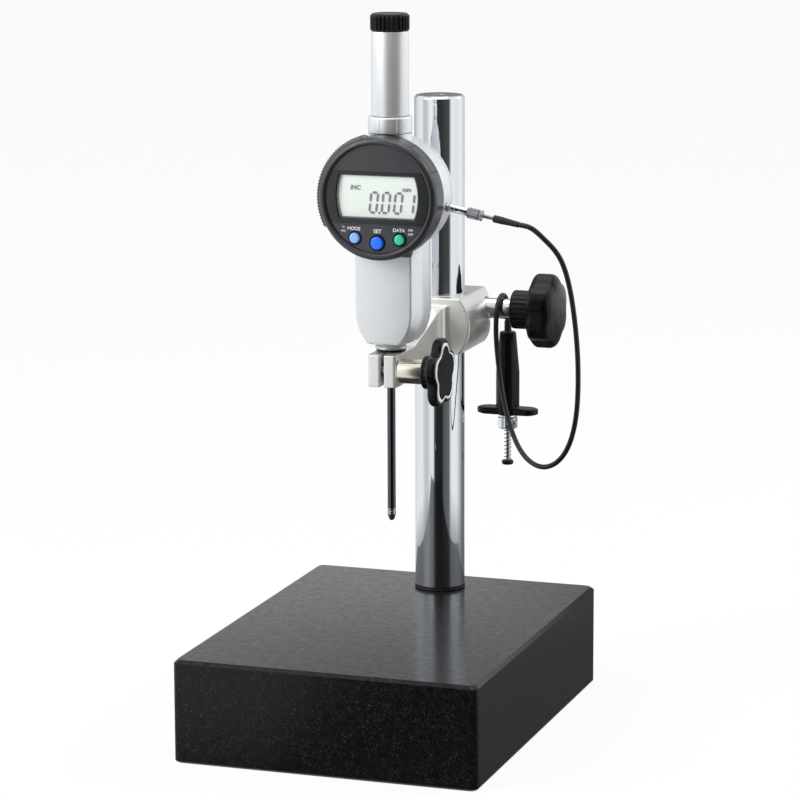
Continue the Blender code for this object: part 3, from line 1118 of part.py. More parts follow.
    back_edge = BEZEL_BORE_RADIUS - SEAT_GAP
    hub_low = HOUSING_FRONT - FRONT_WALL + SEAT_GAP
    profile = [(HUB_BORE_RADIUS, hub_low), (HUB_RADIUS, hub_low), (HUB_RADIUS, rear), (back_edge, rear),
               (back_edge, rear + BEZEL_BACK_THICKNESS), (HUB_BORE_RADIUS, rear + BEZEL_BACK_THICKNESS)]
    solid("bezel_back", turned(profile, ROUND_STEPS, closed=True), black_plastic(), display)
    clip = tube(HUB_RADIUS + SEAT_GAP + HUB_CLIP_WIDTH, HUB_RADIUS + SEAT_GAP, hub_low,
                hub_low + HUB_CLIP_THICKNESS, SMALL_STEPS)
    solid("hub_clip", clip, steel(), display)


RELEASE_TURN = (0.0, math.radians(90.0 + RELEASE_TILT_DEGREES), 0.0)


def release_direction():
    tilt = math.radians(RELEASE_TILT_DEGREES)
    return Vector((math.cos(tilt), 0.0, -math.sin(tilt)))


def release_point(along):
    """A point on the release fitting's axis, at a distance out from the case's side."""
    side = math.sqrt(HOUSING_RADIUS ** 2 - RELEASE_DROP ** 2)
    start = Vector((side, RELEASE_SETBACK, RELEASE_Z))
    return start + release_direction() * along


def release_lengths():
    """Where each piece of the release fitting starts, counted out from the case's side."""
    port_end = PORT_FLANGE_THICKNESS + SEAT_GAP
    barrel = port_end + SEAT_GAP
    nut = barrel + RELEASE_BARREL_LENGTH + SEAT_GAP
    neck = nut + RELEASE_NUT_LENGTH + SEAT_GAP
    boot = neck + RELEASE_NECK_LENGTH + SEAT_GAP
    return {"barrel": barrel, "nut": nut, "neck": neck, "boot": boot, "end": boot + BOOT_LENGTH}


def make_release_fitting(indicator):
    """The port in the case, then the barrel, fluted nut, thin neck and boot of the release."""
    starts = release_lengths()
    place = release_point(0.0)
    spigot = PORT_SPIGOT_DIAMETER / 2
    flange = PORT_FLANGE_DIAMETER / 2
    inside = HOUSING_WALL - SEAT_GAP
    port = turned([(0.0, -inside), (spigot, -inside), (spigot, SEAT_GAP * 2), (flange, SEAT_GAP * 2),
                   (flange, PORT_FLANGE_THICKNESS + SEAT_GAP), (0.0, PORT_FLANGE_THICKNESS + SEAT_GAP)],
                  TINY_STEPS)
    solid("release_port", port, chrome(), indicator, place, RELEASE_TURN)
    radius = RELEASE_BARREL_DIAMETER / 2
    barrel = rod(radius, starts["barrel"], starts["barrel"] + RELEASE_BARREL_LENGTH, TINY_STEPS)
    solid("release_barrel", barrel, chrome(), indicator, place, RELEASE_TURN)
    low = starts["nut"]
    high = low + RELEASE_NUT_LENGTH
    steps = RELEASE_NUT_FLUTES * 2
    nut = RELEASE_NUT_DIAMETER / 2
    edge = KNOB_EDGE / 2
    rings = [circle(nut - edge, low, steps),
             lobed(nut, RELEASE_NUT_FLUTE_DEPTH, RELEASE_NUT_FLUTES, low + edge, steps),
             lobed(nut, RELEASE_NUT_FLUTE_DEPTH, RELEASE_NUT_FLUTES, high - edge, steps),
             circle(nut - edge, high, steps)]
    solid("release_nut", loft(rings), chrome(), indicator, place, RELEASE_TURN)
    neck = rod(RELEASE_NECK_DIAMETER / 2, starts["neck"], starts["neck"] + RELEASE_NECK_LENGTH, TINY_STEPS)
    solid("release_neck", neck, steel(), indicator, place, RELEASE_TURN)
    low = starts["boot"]
    high = starts["end"]
    wide = BOOT_DIAMETER / 2
    narrow = CABLE_DIAMETER / 2
    boot = turned([(0.0, low), (wide - edge, low), (wide, low + edge), (wide, low + BOOT_LENGTH / 3),
                   (narrow + edge, high), (0.0, high)], TINY_STEPS)
    solid("release_boot", boot, rubber(), indicator, place, RELEASE_TURN)


def make_handle(arm, plunger, lock):
    """The release handle, hanging button down: barrel with finger wings, neck and plunger."""
    x = HANDLE_SIDE
    y = HANDLE_Y
    boot_top = HANDLE_TOP_Z + SEAT_GAP + HANDLE_BOOT_LENGTH
    edge = KNOB_EDGE / 2
    boot = turned([(0.0, HANDLE_TOP_Z + SEAT_GAP), (BOOT_DIAMETER / 2, HANDLE_TOP_Z + SEAT_GAP),
                   (BOOT_DIAMETER / 2, boot_top - edge), (CABLE_DIAMETER / 2 + edge, boot_top),
                   (0.0, boot_top)], TINY_STEPS)
    solid("handle_boot", boot, rubber(), arm, (x, y, 0.0))

    top = HANDLE_TOP_Z
    foot = top - HANDLE_BARREL_LENGTH
    bore = HANDLE_BORE_RADIUS
    barrel = turned([(0.0, top), (HANDLE_END_RADIUS - edge, top), (HANDLE_END_RADIUS, top - edge),
                     (HANDLE_BARREL_RADIUS, top - HANDLE_BARREL_LENGTH / 2), (HANDLE_BARREL_RADIUS, foot),
                     (0.0, foot)], SMALL_STEPS)
    handle = solid("release_handle", barrel, black_plastic(), arm, (x, y, 0.0))
    round_x = WING_HALF_SPAN - WING_HALF_WIDTH
    outline = arc((round_x, 0.0), WING_HALF_WIDTH, -90.0, 90.0, 8)
    outline += arc((-round_x, 0.0), WING_HALF_WIDTH, 90.0, 270.0, 8)

    def wing_level(inset, height):
        scale = (WING_HALF_WIDTH - inset) / WING_HALF_WIDTH
        return [(px * scale, py * scale, height) for px, py in outline]

    wings = loft([wing_level(edge, foot - edge), wing_level(0.0, foot),
                  wing_level(0.0, foot + WING_THICKNESS - edge), wing_level(edge, foot + WING_THICKNESS)])
    combine(handle, helper("wings_shape", wings, arm, (x, y, 0.0)), "UNION")
    hole = rod(bore, foot - CUT_OVERRUN, foot + HANDLE_BORE_DEPTH, TINY_STEPS)
    combine(handle, helper("handle_bore_cut", hole, arm, (x, y, 0.0)))

    neck_top = foot - edge - SEAT_GAP
    neck_low = neck_top - NECK_LENGTH
    neck = NECK_DIAMETER / 2
    profile = [(bore, neck_top), (bore, neck_low), (neck - edge, neck_low), (neck, neck_low + edge),
               (neck, neck_top)]
    collar = solid("handle_neck", turned(profile, SMALL_STEPS, closed=True), chrome(), arm, (x, y, 0.0))
    lock_z = (neck_top + neck_low) / 2
    screw_place = (x, y, lock_z)
    turn = (math.radians(90.0), 0.0, math.radians(LOCK_SCREW_TURN))
    inner = bore + SEAT_GAP * 2
    screw_hole = rod(LOCK_SCREW_DIAMETER / 2 + RUNNING_CLEARANCE, 0.0, NECK_DIAMETER, TINY_STEPS)
    combine(collar, helper("lock_screw_cut", screw_hole, arm, screw_place, turn))
    head = LOCK_SCREW_HEAD_DIAMETER / 2
    shank = LOCK_SCREW_DIAMETER / 2
    out = neck + SEAT_GAP
    end = out + LOCK_SCREW_PROUD
    dimple = shank / 2
    dimple_floor = end - LOCK_SCREW_PROUD / 3
    profile = [(0.0, inner), (shank, inner), (shank, out), (head, out), (head, end - edge),
               (head - edge, end), (dimple, end), (dimple, dimple_floor), (0.0, dimple_floor)]
    solid("lock_screw", turned(profile, TINY_STEPS), chrome(), lock, screw_place, turn)

    rod_top = neck_low + PLUNGER_IN
    rod_low = neck_low - PLUNGER_OUT
    radius = PLUNGER_DIAMETER / 2
    solid("plunger_rod", rod(radius, rod_low, rod_top, TINY_STEPS), steel(), plunger, (x, y, 0.0))
    button_top = rod_low - SEAT_GAP
    button_low = button_top - THUMB_BUTTON_THICKNESS
    button = THUMB_BUTTON_DIAMETER / 2
    profile = [(0.0, button_low), (button - edge, button_low), (button, button_low + edge),
               (button, button_top - edge), (button - edge, button_top), (0.0, button_top)]
    solid("thumb_button", turned(profile, SMALL_STEPS), black_plastic(), plunger, (x, y, 0.0))
    spring_low = button_top + SEAT_GAP + PLUNGER_SPRING_WIRE / 2
    spring_high = neck_low - SEAT_GAP - PLUNGER_SPRING_WIRE / 2
    sizes = (PLUNGER_SPRING_RADIUS, PLUNGER_SPRING_WIRE, spring_low, spring_high, PLUNGER_SPRING_TURNS)
    print(f"plunger spring's least gap to itself {helix_gap(*sizes) * 1000.0:.2f} mm")
    spring = helix_tube(*sizes)
    solid("plunger_spring", spring, steel(), arm, (x, y, 0.0))


def cable_route():
    """The cable's route in metres: out of the boot, down in a loose loop, up over the
    column clamp's sleeve and down into the handle's boot."""
    out = release_point(release_lengths()["end"] + SEAT_GAP)
    ahead = release_direction()
    over_y = CLAMP_SCREW_Y
    top = DRAPE_TOP_Z
    r = DRAPE_RADIUS
    slant = r * math.sqrt(0.5)
    x = HANDLE_SIDE
    end_z = HANDLE_TOP_Z + SEAT_GAP + HANDLE_BOOT_LENGTH + SEAT_GAP
    drape = [(x, over_y - r, top - r), (x, over_y - slant, top - r + slant), (x, over_y, top),
             (x, over_y + slant, top - r + slant), (x, over_y + r, top - r), (x, over_y + r, end_z)]
    return [out, out + ahead * CABLE_DIAMETER * 2] + [Vector(p) for p in CABLE_LOOP + drape]


def smooth_curve(points, count):
    """Evenly spaced points on the natural cubic spline through a route."""
    route = np.array([list(p) for p in points])
    t = np.concatenate(([0.0], np.cumsum(np.linalg.norm(np.diff(route, axis=0), axis=1))))
    h = np.diff(t)
    n = len(t)
    system = np.eye(n)
    target = np.zeros((n, 3))
    for i in range(1, n - 1):
        system[i, i - 1:i + 2] = (h[i - 1], 2.0 * (h[i - 1] + h[i]), h[i])
        target[i] = 6.0 * ((route[i + 1] - route[i]) / h[i] - (route[i] - route[i - 1]) / h[i - 1])
    bend = np.linalg.solve(system, target)

    def at(values):
        i = np.clip(np.searchsorted(t, values) - 1, 0, n - 2)
        a = (t[i + 1] - values)[:, None]
        b = (values - t[i])[:, None]
        w = h[i][:, None]
        return (bend[i] * a ** 3 + bend[i + 1] * b ** 3) / (6.0 * w) + (
            route[i] / w - bend[i] * w / 6.0) * a + (route[i + 1] / w - bend[i + 1] * w / 6.0) * b

    fine = at(np.linspace(0.0, t[-1], CURVE_SAMPLES))
    run = np.concatenate(([0.0], np.cumsum(np.linalg.norm(np.diff(fine, axis=0), axis=1))))
    even = np.linspace(0.0, run[-1], count)
    return np.stack([np.interp(even, run, fine[:, k]) for k in range(3)], axis=1), run[-1]


def make_cable(arm):
    points, length = smooth_curve(cable_route(), CABLE_POINTS)
    print(f"cable centre line {length:.4f} m, meant to be {CABLE_LENGTH:.4f} m")
    curve = bpy.data.curves.new("release_cable", "CURVE")
    curve.dimensions = "3D"
    curve.bevel_depth = CABLE_DIAMETER / 2
    curve.bevel_resolution = 2
    curve.use_fill_caps = True
    spline = curve.splines.new("POLY")
    spline.points.add(len(points) - 1)
    for place, point in zip(points, spline.points):
        point.co = (*place, 1.0)
    curve.materials.append(rubber())
    cable = bpy.data.objects.new("release_cable", curve)
    bpy.context.scene.collection.objects.link(cable)
    cable.parent = arm
    cable.location = -world_place(arm)


def main():
    clear_scene()
    root = empty("base_axis", (0.0, 0.0, 0.0))
    column = empty("column_axis", (0.0, THROAT, COLUMN_BASE_Z), root)
    arm = empty("arm_carrier", (0.0, THROAT, CLAMP_MIDDLE_Z), column)
    big_knob = empty("column_clamp_axis", (0.0, CLAMP_SCREW_Y, CLAMP_SCREW_Z), arm)
    small_knob = empty("stem_clamp_axis", (0.0, -SPLIT_SCREW_FORWARD, SPLIT_SCREW_Z), arm)
    indicator = empty("indicator_axis", (0.0, 0.0, SPLIT_BOTTOM_Z), arm)
    spindle = empty("spindle_axis", (0.0, 0.0, SPINDLE_BOTTOM_Z), indicator)
    lever = empty("lever_axis", (LEVER_PIN_OFFSET, 0.0, DISPLAY_Z + LEVER_PIN_RISE), indicator)
    display = empty("display_axis", (0.0, 0.0, DISPLAY_Z), indicator, TO_FRONT)
    foot = HANDLE_TOP_Z - HANDLE_BARREL_LENGTH
    plunger = empty("plunger_axis", (HANDLE_SIDE, HANDLE_Y, foot), arm)
    lock = empty("lock_screw_axis", (HANDLE_SIDE, HANDLE_Y, foot - NECK_LENGTH / 2), arm)
    make_base(root)
    make_column(column)
    make_bracket(arm)
    make_column_clamp(big_knob)
    make_split_clamp(small_knob)
    make_case(indicator)
    make_stem(indicator)
    make_cover_tube(indicator)
    make_encoder(indicator)
    make_release_fitting(indicator)
    make_return_spring(indicator)
    make_lever(indicator, lever)
    make_spindle(spindle)
    make_display(display)
    make_handle(arm, plunger, lock)
    make_cable(arm)


main()
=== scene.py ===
"""Looks of the comparator stand.

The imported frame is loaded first. Then each operator makes or finishes one piece, or a
group of like pieces. Lengths are in metres: X is to the right, Y to the rear and Z up.
"""

import math

import bmesh
import bpy
import numpy as np
from bpy.props import FloatProperty, FloatVectorProperty, IntProperty, PointerProperty
from mathutils import Matrix, Vector


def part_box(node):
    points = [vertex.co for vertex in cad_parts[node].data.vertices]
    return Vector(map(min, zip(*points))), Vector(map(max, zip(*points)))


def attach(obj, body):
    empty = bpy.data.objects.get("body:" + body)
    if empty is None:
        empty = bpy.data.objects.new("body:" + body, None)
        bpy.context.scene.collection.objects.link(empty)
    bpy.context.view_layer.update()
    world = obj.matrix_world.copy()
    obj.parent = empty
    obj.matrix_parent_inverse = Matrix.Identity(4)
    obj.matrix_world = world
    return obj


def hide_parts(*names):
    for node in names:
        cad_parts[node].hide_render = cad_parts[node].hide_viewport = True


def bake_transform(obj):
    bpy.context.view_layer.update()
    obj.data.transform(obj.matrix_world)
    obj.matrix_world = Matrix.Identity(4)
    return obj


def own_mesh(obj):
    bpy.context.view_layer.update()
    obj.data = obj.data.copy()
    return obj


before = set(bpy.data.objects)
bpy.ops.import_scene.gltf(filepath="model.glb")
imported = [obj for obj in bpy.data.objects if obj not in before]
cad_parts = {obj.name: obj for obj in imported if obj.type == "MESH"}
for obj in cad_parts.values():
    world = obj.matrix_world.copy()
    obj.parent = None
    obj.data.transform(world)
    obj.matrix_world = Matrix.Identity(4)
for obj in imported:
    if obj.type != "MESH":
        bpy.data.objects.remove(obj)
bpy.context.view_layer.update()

bl_info = {
    "name": "Comparator stand looks",
    "version": (1, 0, 0),
    "blender": (4, 5, 0),
    "location": "View3D > Sidebar > Stand",
    "description": "Surfaces, finishes and studio of a granite comparator stand",
    "category": "Object",
}

MM = 0.001

# Photograph's camera: turned to the right of the front, raised, and far off
CAMERA_AZIMUTH = 18.864
CAMERA_ELEVATION = 11.027
CAMERA_ROLL = -0.198
CAMERA_DISTANCE = 1.71405
CAMERA_RIGHT = 0.003648
CAMERA_UP = 0.158422
FOCAL_PIXELS = 3486.59
PHOTO_WIDTH_PIXELS = 800
SENSOR_WIDTH_MM = 36.0

# Places taken from the frame
COLUMN_LOW, COLUMN_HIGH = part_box("column")
COLUMN_Y = (COLUMN_LOW.y + COLUMN_HIGH.y) / 2
COLUMN_RADIUS = (COLUMN_HIGH.x - COLUMN_LOW.x) / 2
BEZEL_LOW, BEZEL_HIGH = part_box("bezel")
DISPLAY_Z = (BEZEL_LOW.z + BEZEL_HIGH.z) / 2
BEZEL_RADIUS = (BEZEL_HIGH.z - BEZEL_LOW.z) / 2
BEZEL_REAR = -BEZEL_HIGH.y
BEZEL_FRONT = -BEZEL_LOW.y
FACE_TOP = -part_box("face_plate")[0].y
LCD_TOP = -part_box("lcd_panel")[0].y
CASE_LOW, CASE_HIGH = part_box("indicator_case")

# Window in the display's face
WINDOW_WIDTH = 0.0410
WINDOW_HEIGHT = 0.0212
WINDOW_RISE = 0.0009
WINDOW_BULGE = 0.0018

# Cable route
CABLE_LOOP = [(0.0745, 0.0030, 0.2425), (0.0815, 0.0050, 0.2345), (0.0860, 0.0075, 0.2220),
              (0.0880, 0.0110, 0.2060), (0.0885, 0.0160, 0.1870), (0.0870, 0.0230, 0.1670),
              (0.0835, 0.0310, 0.1490), (0.0775, 0.0390, 0.1340), (0.0690, 0.0470, 0.1240),
              (0.0590, 0.0545, 0.1200), (0.0490, 0.0615, 0.1230), (0.0405, 0.0680, 0.1330),
              (0.0340, 0.0740, 0.1480), (0.0295, 0.0795, 0.1650)]
BOOT_START = 23.8 * MM
BOOT_LENGTH = 13.0 * MM
RELEASE_TILT = math.radians(11.0)
RELEASE_SETBACK = 0.0020
RELEASE_DROP = 0.0054
HOUSING_RADIUS = 0.028
HANDLE_X = 0.0270
HANDLE_Y = 0.1035
DRAPE_RADIUS = 0.0100

# Soft boxes and dark cards that gloss sees: degrees from the camera's direction, to the
# right positive, the light there, and the light low down and on the floor there
RING_REACH = 0.30
SURROUNDINGS = ((-180.0, 0.30, 0.80), (-150.0, 0.45, 0.80), (-120.0, 0.80, 0.90), (-90.0, 0.95, 0.92),
                (-72.0, 0.60, 0.62), (-60.0, 0.62, 0.60), (-50.0, 0.85, 0.80), (-38.0, 1.00, 0.90),
                (-30.0, 0.92, 0.80), (-26.0, 0.10, 0.10), (-20.0, 0.035, 0.02), (10.0, 0.035, 0.02),
                (18.0, 0.05, 0.10), (41.0, 0.07, 0.14), (46.0, 0.20, 0.35), (51.0, 0.85, 0.85),
                (62.0, 0.93, 0.93), (85.0, 0.85, 0.90), (100.0, 0.92, 0.60), (112.0, 0.95, 0.35),
                (135.0, 0.75, 0.10), (157.0, 0.60, 0.30), (180.0, 0.30, 0.80))


def linear(code):
    """Turns an sRGB hex colour to linear red, green and blue."""
    shown = np.array([int(code[k:k + 2], 16) for k in (1, 3, 5)]) / 255.0
    return tuple(np.where(shown <= 0.04045, shown / 12.92, ((shown + 0.055) / 1.055) ** 2.4))


def colour(label, words, code):
    """A colour property whose default is an sRGB hex value."""
    return FloatVectorProperty(name=label, description=words, subtype="COLOR", size=3, min=0.0, max=1.0,
                               default=linear(code))


def length(label, words, metres):
    """A length property in metres."""
    return FloatProperty(name=label, description=words, default=metres, min=0.0, precision=5, unit="LENGTH")


class StandSizes(bpy.types.PropertyGroup):
    """Sizes of the fine forms that only the looks have."""

    granite_grain: length("Granite grain", "Width of one pale speck in the black granite", 0.6 * MM)
    paint_grain: length("Paint grain", "Width of one flake in the silver paint", 0.35 * MM)
    brush_spacing: length("Grinding marks", "Spacing of the fine marks on ground steel", 0.12 * MM)
    edge: length("Edge rounding", "Rounding of turned edges", 0.25 * MM)
    cap_rib_depth: length("Cap rib depth", "How deep the cap's ribs are cut", 0.55 * MM)
    cap_ribs: IntProperty(name="Cap ribs", description="Ribs round the tube's cap", default=28, min=3)
    grip_rib_spacing: length("Grip rib spacing", "From one grip rib of the display's rim to the next", 1.5 * MM)
    knurl_ribs: IntProperty(name="Nut knurls", description="Flutes round the release nut", default=18, min=3)
    cable_length: length("Cable length", "Real length of the release cable", 0.285)
    cable_diameter: length("Cable diameter", "Outside diameter of the release cable", 2.5 * MM)
    cable_pitch: length("Cable wrap pitch", "From one turn of the cable's wrapped cover to the next", 1.4 * MM)
    digit_height: length("Digit height", "Height of the main figures on the display", 10.7 * MM)


class StandColours(bpy.types.PropertyGroup):
    """Colours of the finishes, as they look under white light."""

    granite: colour("Granite", "Ground colour of the black granite", "#0a0b0d")
    granite_speck: colour("Granite specks", "Pale mineral specks in the granite", "#565d61")
    chrome: colour("Chrome", "Hard chrome plate", "#eef1f5")
    nickel: colour("Nickel", "Nickel plate, a little yellow", "#f1ecdc")
    steel: colour("Steel", "Ground steel", "#b4b6ba")
    satin: colour("Satin steel", "Plated stem of the indicator", "#d6d8d9")
    hardened: colour("Hardened steel", "Lapped spindle", "#5c5f64")
    # Faced steel: its darker tone is painted shade for the column top's darker reflection
    faced: colour("Faced steel", "Bare steel end of the column", "#8b8783")
    pearl: colour("Pearl paint", "Paint of the bracket casting", "#efeeea")
    silver: colour("Silver paint", "Metallic paint of the indicator's case", "#eceef0")
    black: colour("Black plastic", "Knobs, cap and handle", "#0b0c0d")
    charcoal: colour("Charcoal plastic", "Display's rim and face", "#232529")
    surround: colour("Display surround", "Darker zone round the window", "#191a1d")
    insert: colour("Knob insert", "Glossy insert of the small knob", "#101416")
    painted_highlight_rim: colour("Knob insert rim", "Pale chamfer round the insert", "#eef0f0")
    # Insert rim: its pale colour is a painted highlight on the insert's chamfer
    rubber: colour("Cable cover", "Black cover of the cable", "#161617")
    lcd: colour("Display ground", "Pale grey-green ground of the display", "#e9f1ea")
    digits: colour("Display figures", "Dark grey-blue figures", "#3b4258")
    digit_shade: colour("Figure shade", "Soft shade that the figures cast on the panel's back", "#b9c1bd")
    label: colour("Labels", "Printed labels beside the buttons", "#d8dade")
    button_left: colour("Left button", "Periwinkle blue", "#7fa5ee")
    button_middle: colour("Middle button", "Strong blue", "#1566e2")
    button_right: colour("Right button", "Sea green", "#1dbd90")
    board: colour("Circuit board", "Green solder mask", "#1c6b3c")
    floor: colour("Floor", "Pale studio floor", "#f2f2f2")


def sizes():
    return bpy.context.scene.stand_sizes


def colours():
    return bpy.context.scene.stand_colours


def wire(tree, node, sockets):
    """Gives a node's sockets their numbers, colours or links."""
    for key, value in sockets.items():
        if isinstance(value, bpy.types.NodeSocket):
            tree.links.new(value, node.inputs[key])
        else:
            node.inputs[key].default_value = value


def add(tree, kind, settings, sockets):
    """Adds a node with its own settings and its sockets."""
    node = tree.nodes.new(kind)
    for name, value in settings.items():
        setattr(node, name, value)
    wire(tree, node, sockets)
    return node


def blank(name):
    """A new material, its node tree, its shader and its object coordinates."""
    made = bpy.data.materials.new(name)
    made.use_nodes = True
    tree = made.node_tree
    coords = add(tree, "ShaderNodeTexCoord", {}, {}).outputs["Object"]
    return made, tree, tree.nodes["Principled BSDF"], coords


def rgba(value):
    return (*value, 1.0)


def polished_granite():
    """Fine black diabase, lapped and polished: near black, with grey feldspar specks about
    half a millimetre wide, and a soft sheen that is strongest at a low angle."""
    made, tree, shader, coords = blank("polished_black_granite")
    c = colours()
    grain = 1.0 / sizes().granite_grain
    specks = add(tree, "ShaderNodeTexNoise", {}, {"Vector": coords, "Scale": grain, "Detail": 2.0, "Roughness": 0.65})
    drift = add(tree, "ShaderNodeTexNoise", {}, {"Vector": coords, "Scale": grain / 6.0, "Detail": 3.0})
    few = add(tree, "ShaderNodeMapRange", {}, {"Value": specks.outputs["Fac"], "From Min": 0.56, "From Max": 0.72,
                                               "To Min": 0.0, "To Max": 0.55})
    patch = add(tree, "ShaderNodeMapRange", {}, {"Value": drift.outputs["Fac"], "From Min": 0.35, "From Max": 0.70,
                                                 "To Min": 0.25, "To Max": 1.0})
    share = add(tree, "ShaderNodeMath", {"operation": "MULTIPLY"}, {0: few.outputs[0], 1: patch.outputs[0]})
    mix = add(tree, "ShaderNodeMix", {"data_type": "RGBA"},
              {"Factor": share.outputs[0], 6: rgba(c.granite), 7: rgba(c.granite_speck)})
    rough = add(tree, "ShaderNodeMapRange", {}, {"Value": drift.outputs["Fac"], "From Min": 0.3, "From Max": 0.7,
                                                 "To Min": 0.26, "To Max": 0.50})
    bump = add(tree, "ShaderNodeBump", {}, {"Height": specks.outputs["Fac"], "Strength": 0.16, "Distance": 0.05 * MM})
    wire(tree, shader, {"Base Color": mix.outputs[2], "Roughness": rough.outputs[0], "Normal": bump.outputs[0],
                        "Specular IOR Level": 0.14, "Coat Weight": 1.0, "Coat Roughness": 0.15, "Coat IOR": 1.20})
    return made


def hard_chrome():
    """Hard chrome plate on ground steel: a near mirror, with faint dull streaks left by wiping."""
    made, tree, shader, coords = blank("hard_chrome_plate")
    stretch = add(tree, "ShaderNodeMapping", {}, {"Vector": coords, "Scale": (1.0, 1.0, 0.06)})
    streaks = add(tree, "ShaderNodeTexNoise", {}, {"Vector": stretch.outputs[0], "Scale": 420.0, "Detail": 3.0})
    rough = add(tree, "ShaderNodeMapRange", {}, {"Value": streaks.outputs["Fac"], "From Min": 0.35, "From Max": 0.75,
                                                 "To Min": 0.045, "To Max": 0.11})
    wire(tree, shader, {"Base Color": rgba(colours().chrome), "Metallic": 1.0, "Roughness": rough.outputs[0]})
    return made


def turned_metal(name, shade, roughness, axis_scale):
    """Ground or turned metal: fine rings round the piece's length, so the gloss runs in
    streaks. The rings are as coarse as they need to be to show."""
    made, tree, shader, coords = blank(name)
    pitch = 1.0 / sizes().brush_spacing
    stretch = add(tree, "ShaderNodeMapping", {}, {"Vector": coords, "Scale": axis_scale})
    rings = add(tree, "ShaderNodeTexNoise", {}, {"Vector": stretch.outputs[0], "Scale": pitch, "Detail": 2.0})
    rough = add(tree, "ShaderNodeMapRange", {}, {"Value": rings.outputs["Fac"], "From Min": 0.3, "From Max": 0.7,
                                                 "To Min": roughness * 0.7, "To Max": roughness * 1.35})
    bump = add(tree, "ShaderNodeBump", {}, {"Height": rings.outputs["Fac"], "Strength": 0.10, "Distance": 0.02 * MM})
    wire(tree, shader, {"Base Color": rgba(shade), "Metallic": 1.0, "Roughness": rough.outputs[0],
                        "Normal": bump.outputs[0]})
    return made


def faced_steel_painted_shade():
    """End of a steel bar, faced on a lathe: concentric tool marks a third of a millimetre
    apart about the column's axis. Its tone, darker than the plate round it, is painted shade
    that stands for the end's darker reflection."""
    made, tree, shader, coords = blank("faced_steel_painted_shade")
    centred = add(tree, "ShaderNodeMapping", {}, {"Vector": coords, "Location": (0.0, -COLUMN_Y, 0.0)})
    marks = add(tree, "ShaderNodeTexWave", {"wave_type": "RINGS", "rings_direction": "Z"},
                {"Vector": centred.outputs[0], "Scale": 0.31416 / (0.33 * MM), "Distortion": 0.4})
    rough = add(tree, "ShaderNodeMapRange", {}, {"Value": marks.outputs["Fac"], "To Min": 0.30, "To Max": 0.46})
    bump = add(tree, "ShaderNodeBump", {}, {"Height": marks.outputs["Fac"], "Strength": 0.25, "Distance": 0.02 * MM})
    wire(tree, shader, {"Base Color": rgba(colours().faced), "Metallic": 1.0, "Roughness": rough.outputs[0],
                        "Normal": bump.outputs[0]})
    return made


def ground_steel():
    """Ground steel shafts and screws, with rings too fine to show singly."""
    return turned_metal("ground_steel", colours().steel, 0.22, (0.05, 0.05, 1.0))


def satin_steel():
    """Stem's flange and shank: turned and then satin plated, paler and duller than chrome."""
    return turned_metal("satin_steel", colours().satin, 0.40, (0.05, 0.05, 1.0))


def hardened_steel():
    """Hardened and lapped spindle: dark, with a clean narrow gloss along it."""
    return turned_metal("hardened_steel", colours().hardened, 0.13, (0.05, 0.05, 1.0))


def nickel_plate():
    """Bright nickel plate with a warm cast, turned along X."""
    return turned_metal("nickel_plate", colours().nickel, 0.16, (1.0, 0.05, 0.05))


def cross_chrome():
    """Chrome on pieces turned along X, such as the clamp's sleeve and the release barrel."""
    return turned_metal("turned_chrome", colours().chrome, 0.12, (1.0, 0.05, 0.05))


def pearl_paint():
    """Satin pearl paint on a casting: nearly white, a little warm, with a faint orange peel."""
    made, tree, shader, coords = blank("pearl_satin_paint")
    peel = add(tree, "ShaderNodeTexNoise", {}, {"Vector": coords, "Scale": 900.0, "Detail": 2.0})
    tone = add(tree, "ShaderNodeTexNoise", {}, {"Vector": coords, "Scale": 60.0, "Detail": 2.0})
    warm = tuple(0.93 * v for v in colours().pearl)
    mix = add(tree, "ShaderNodeMix", {"data_type": "RGBA"},
              {"Factor": tone.outputs["Fac"], 6: rgba(warm), 7: rgba(colours().pearl)})
    bump = add(tree, "ShaderNodeBump", {}, {"Height": peel.outputs["Fac"], "Strength": 0.12, "Distance": 0.05 * MM})
    wire(tree, shader, {"Base Color": mix.outputs[2], "Metallic": 0.70, "Roughness": 0.26, "Normal": bump.outputs[0],
                        "Coat Weight": 0.25, "Coat Roughness": 0.12})
    return made


def silver_paint():
    """Metallic silver paint on a moulded case: bright flakes about a third of a millimetre
    wide in a satin lacquer. The real flakes are finer and are drawn coarser to show."""
    made, tree, shader, coords = blank("silver_metallic_paint")
    flake = 1.0 / sizes().paint_grain
    flakes = add(tree, "ShaderNodeTexVoronoi", {}, {"Vector": coords, "Scale": flake})
    fine = add(tree, "ShaderNodeTexNoise", {}, {"Vector": coords, "Scale": flake * 1.3, "Detail": 2.0})
    grey = add(tree, "ShaderNodeRGBToBW", {}, {"Color": flakes.outputs["Color"]})
    both = add(tree, "ShaderNodeMath", {"operation": "ADD"}, {0: grey.outputs[0], 1: fine.outputs["Fac"]})
    level = add(tree, "ShaderNodeMapRange", {}, {"Value": both.outputs[0], "From Min": 0.5, "From Max": 1.5,
                                                 "To Min": 0.0, "To Max": 1.0})
    dim = tuple(0.84 * v for v in colours().silver)
    mix = add(tree, "ShaderNodeMix", {"data_type": "RGBA"},
              {"Factor": level.outputs[0], 6: rgba(dim), 7: rgba(colours().silver)})
    rough = add(tree, "ShaderNodeMapRange", {}, {"Value": both.outputs[0], "From Min": 0.4, "From Max": 1.6,
                                                 "To Min": 0.30, "To Max": 0.44})
    bump = add(tree, "ShaderNodeBump", {}, {"Height": both.outputs[0], "Strength": 0.16, "Distance": 0.05 * MM})
    wire(tree, shader, {"Base Color": mix.outputs[2], "Metallic": 0.66, "Roughness": rough.outputs[0],
                        "Normal": bump.outputs[0]})
    return made


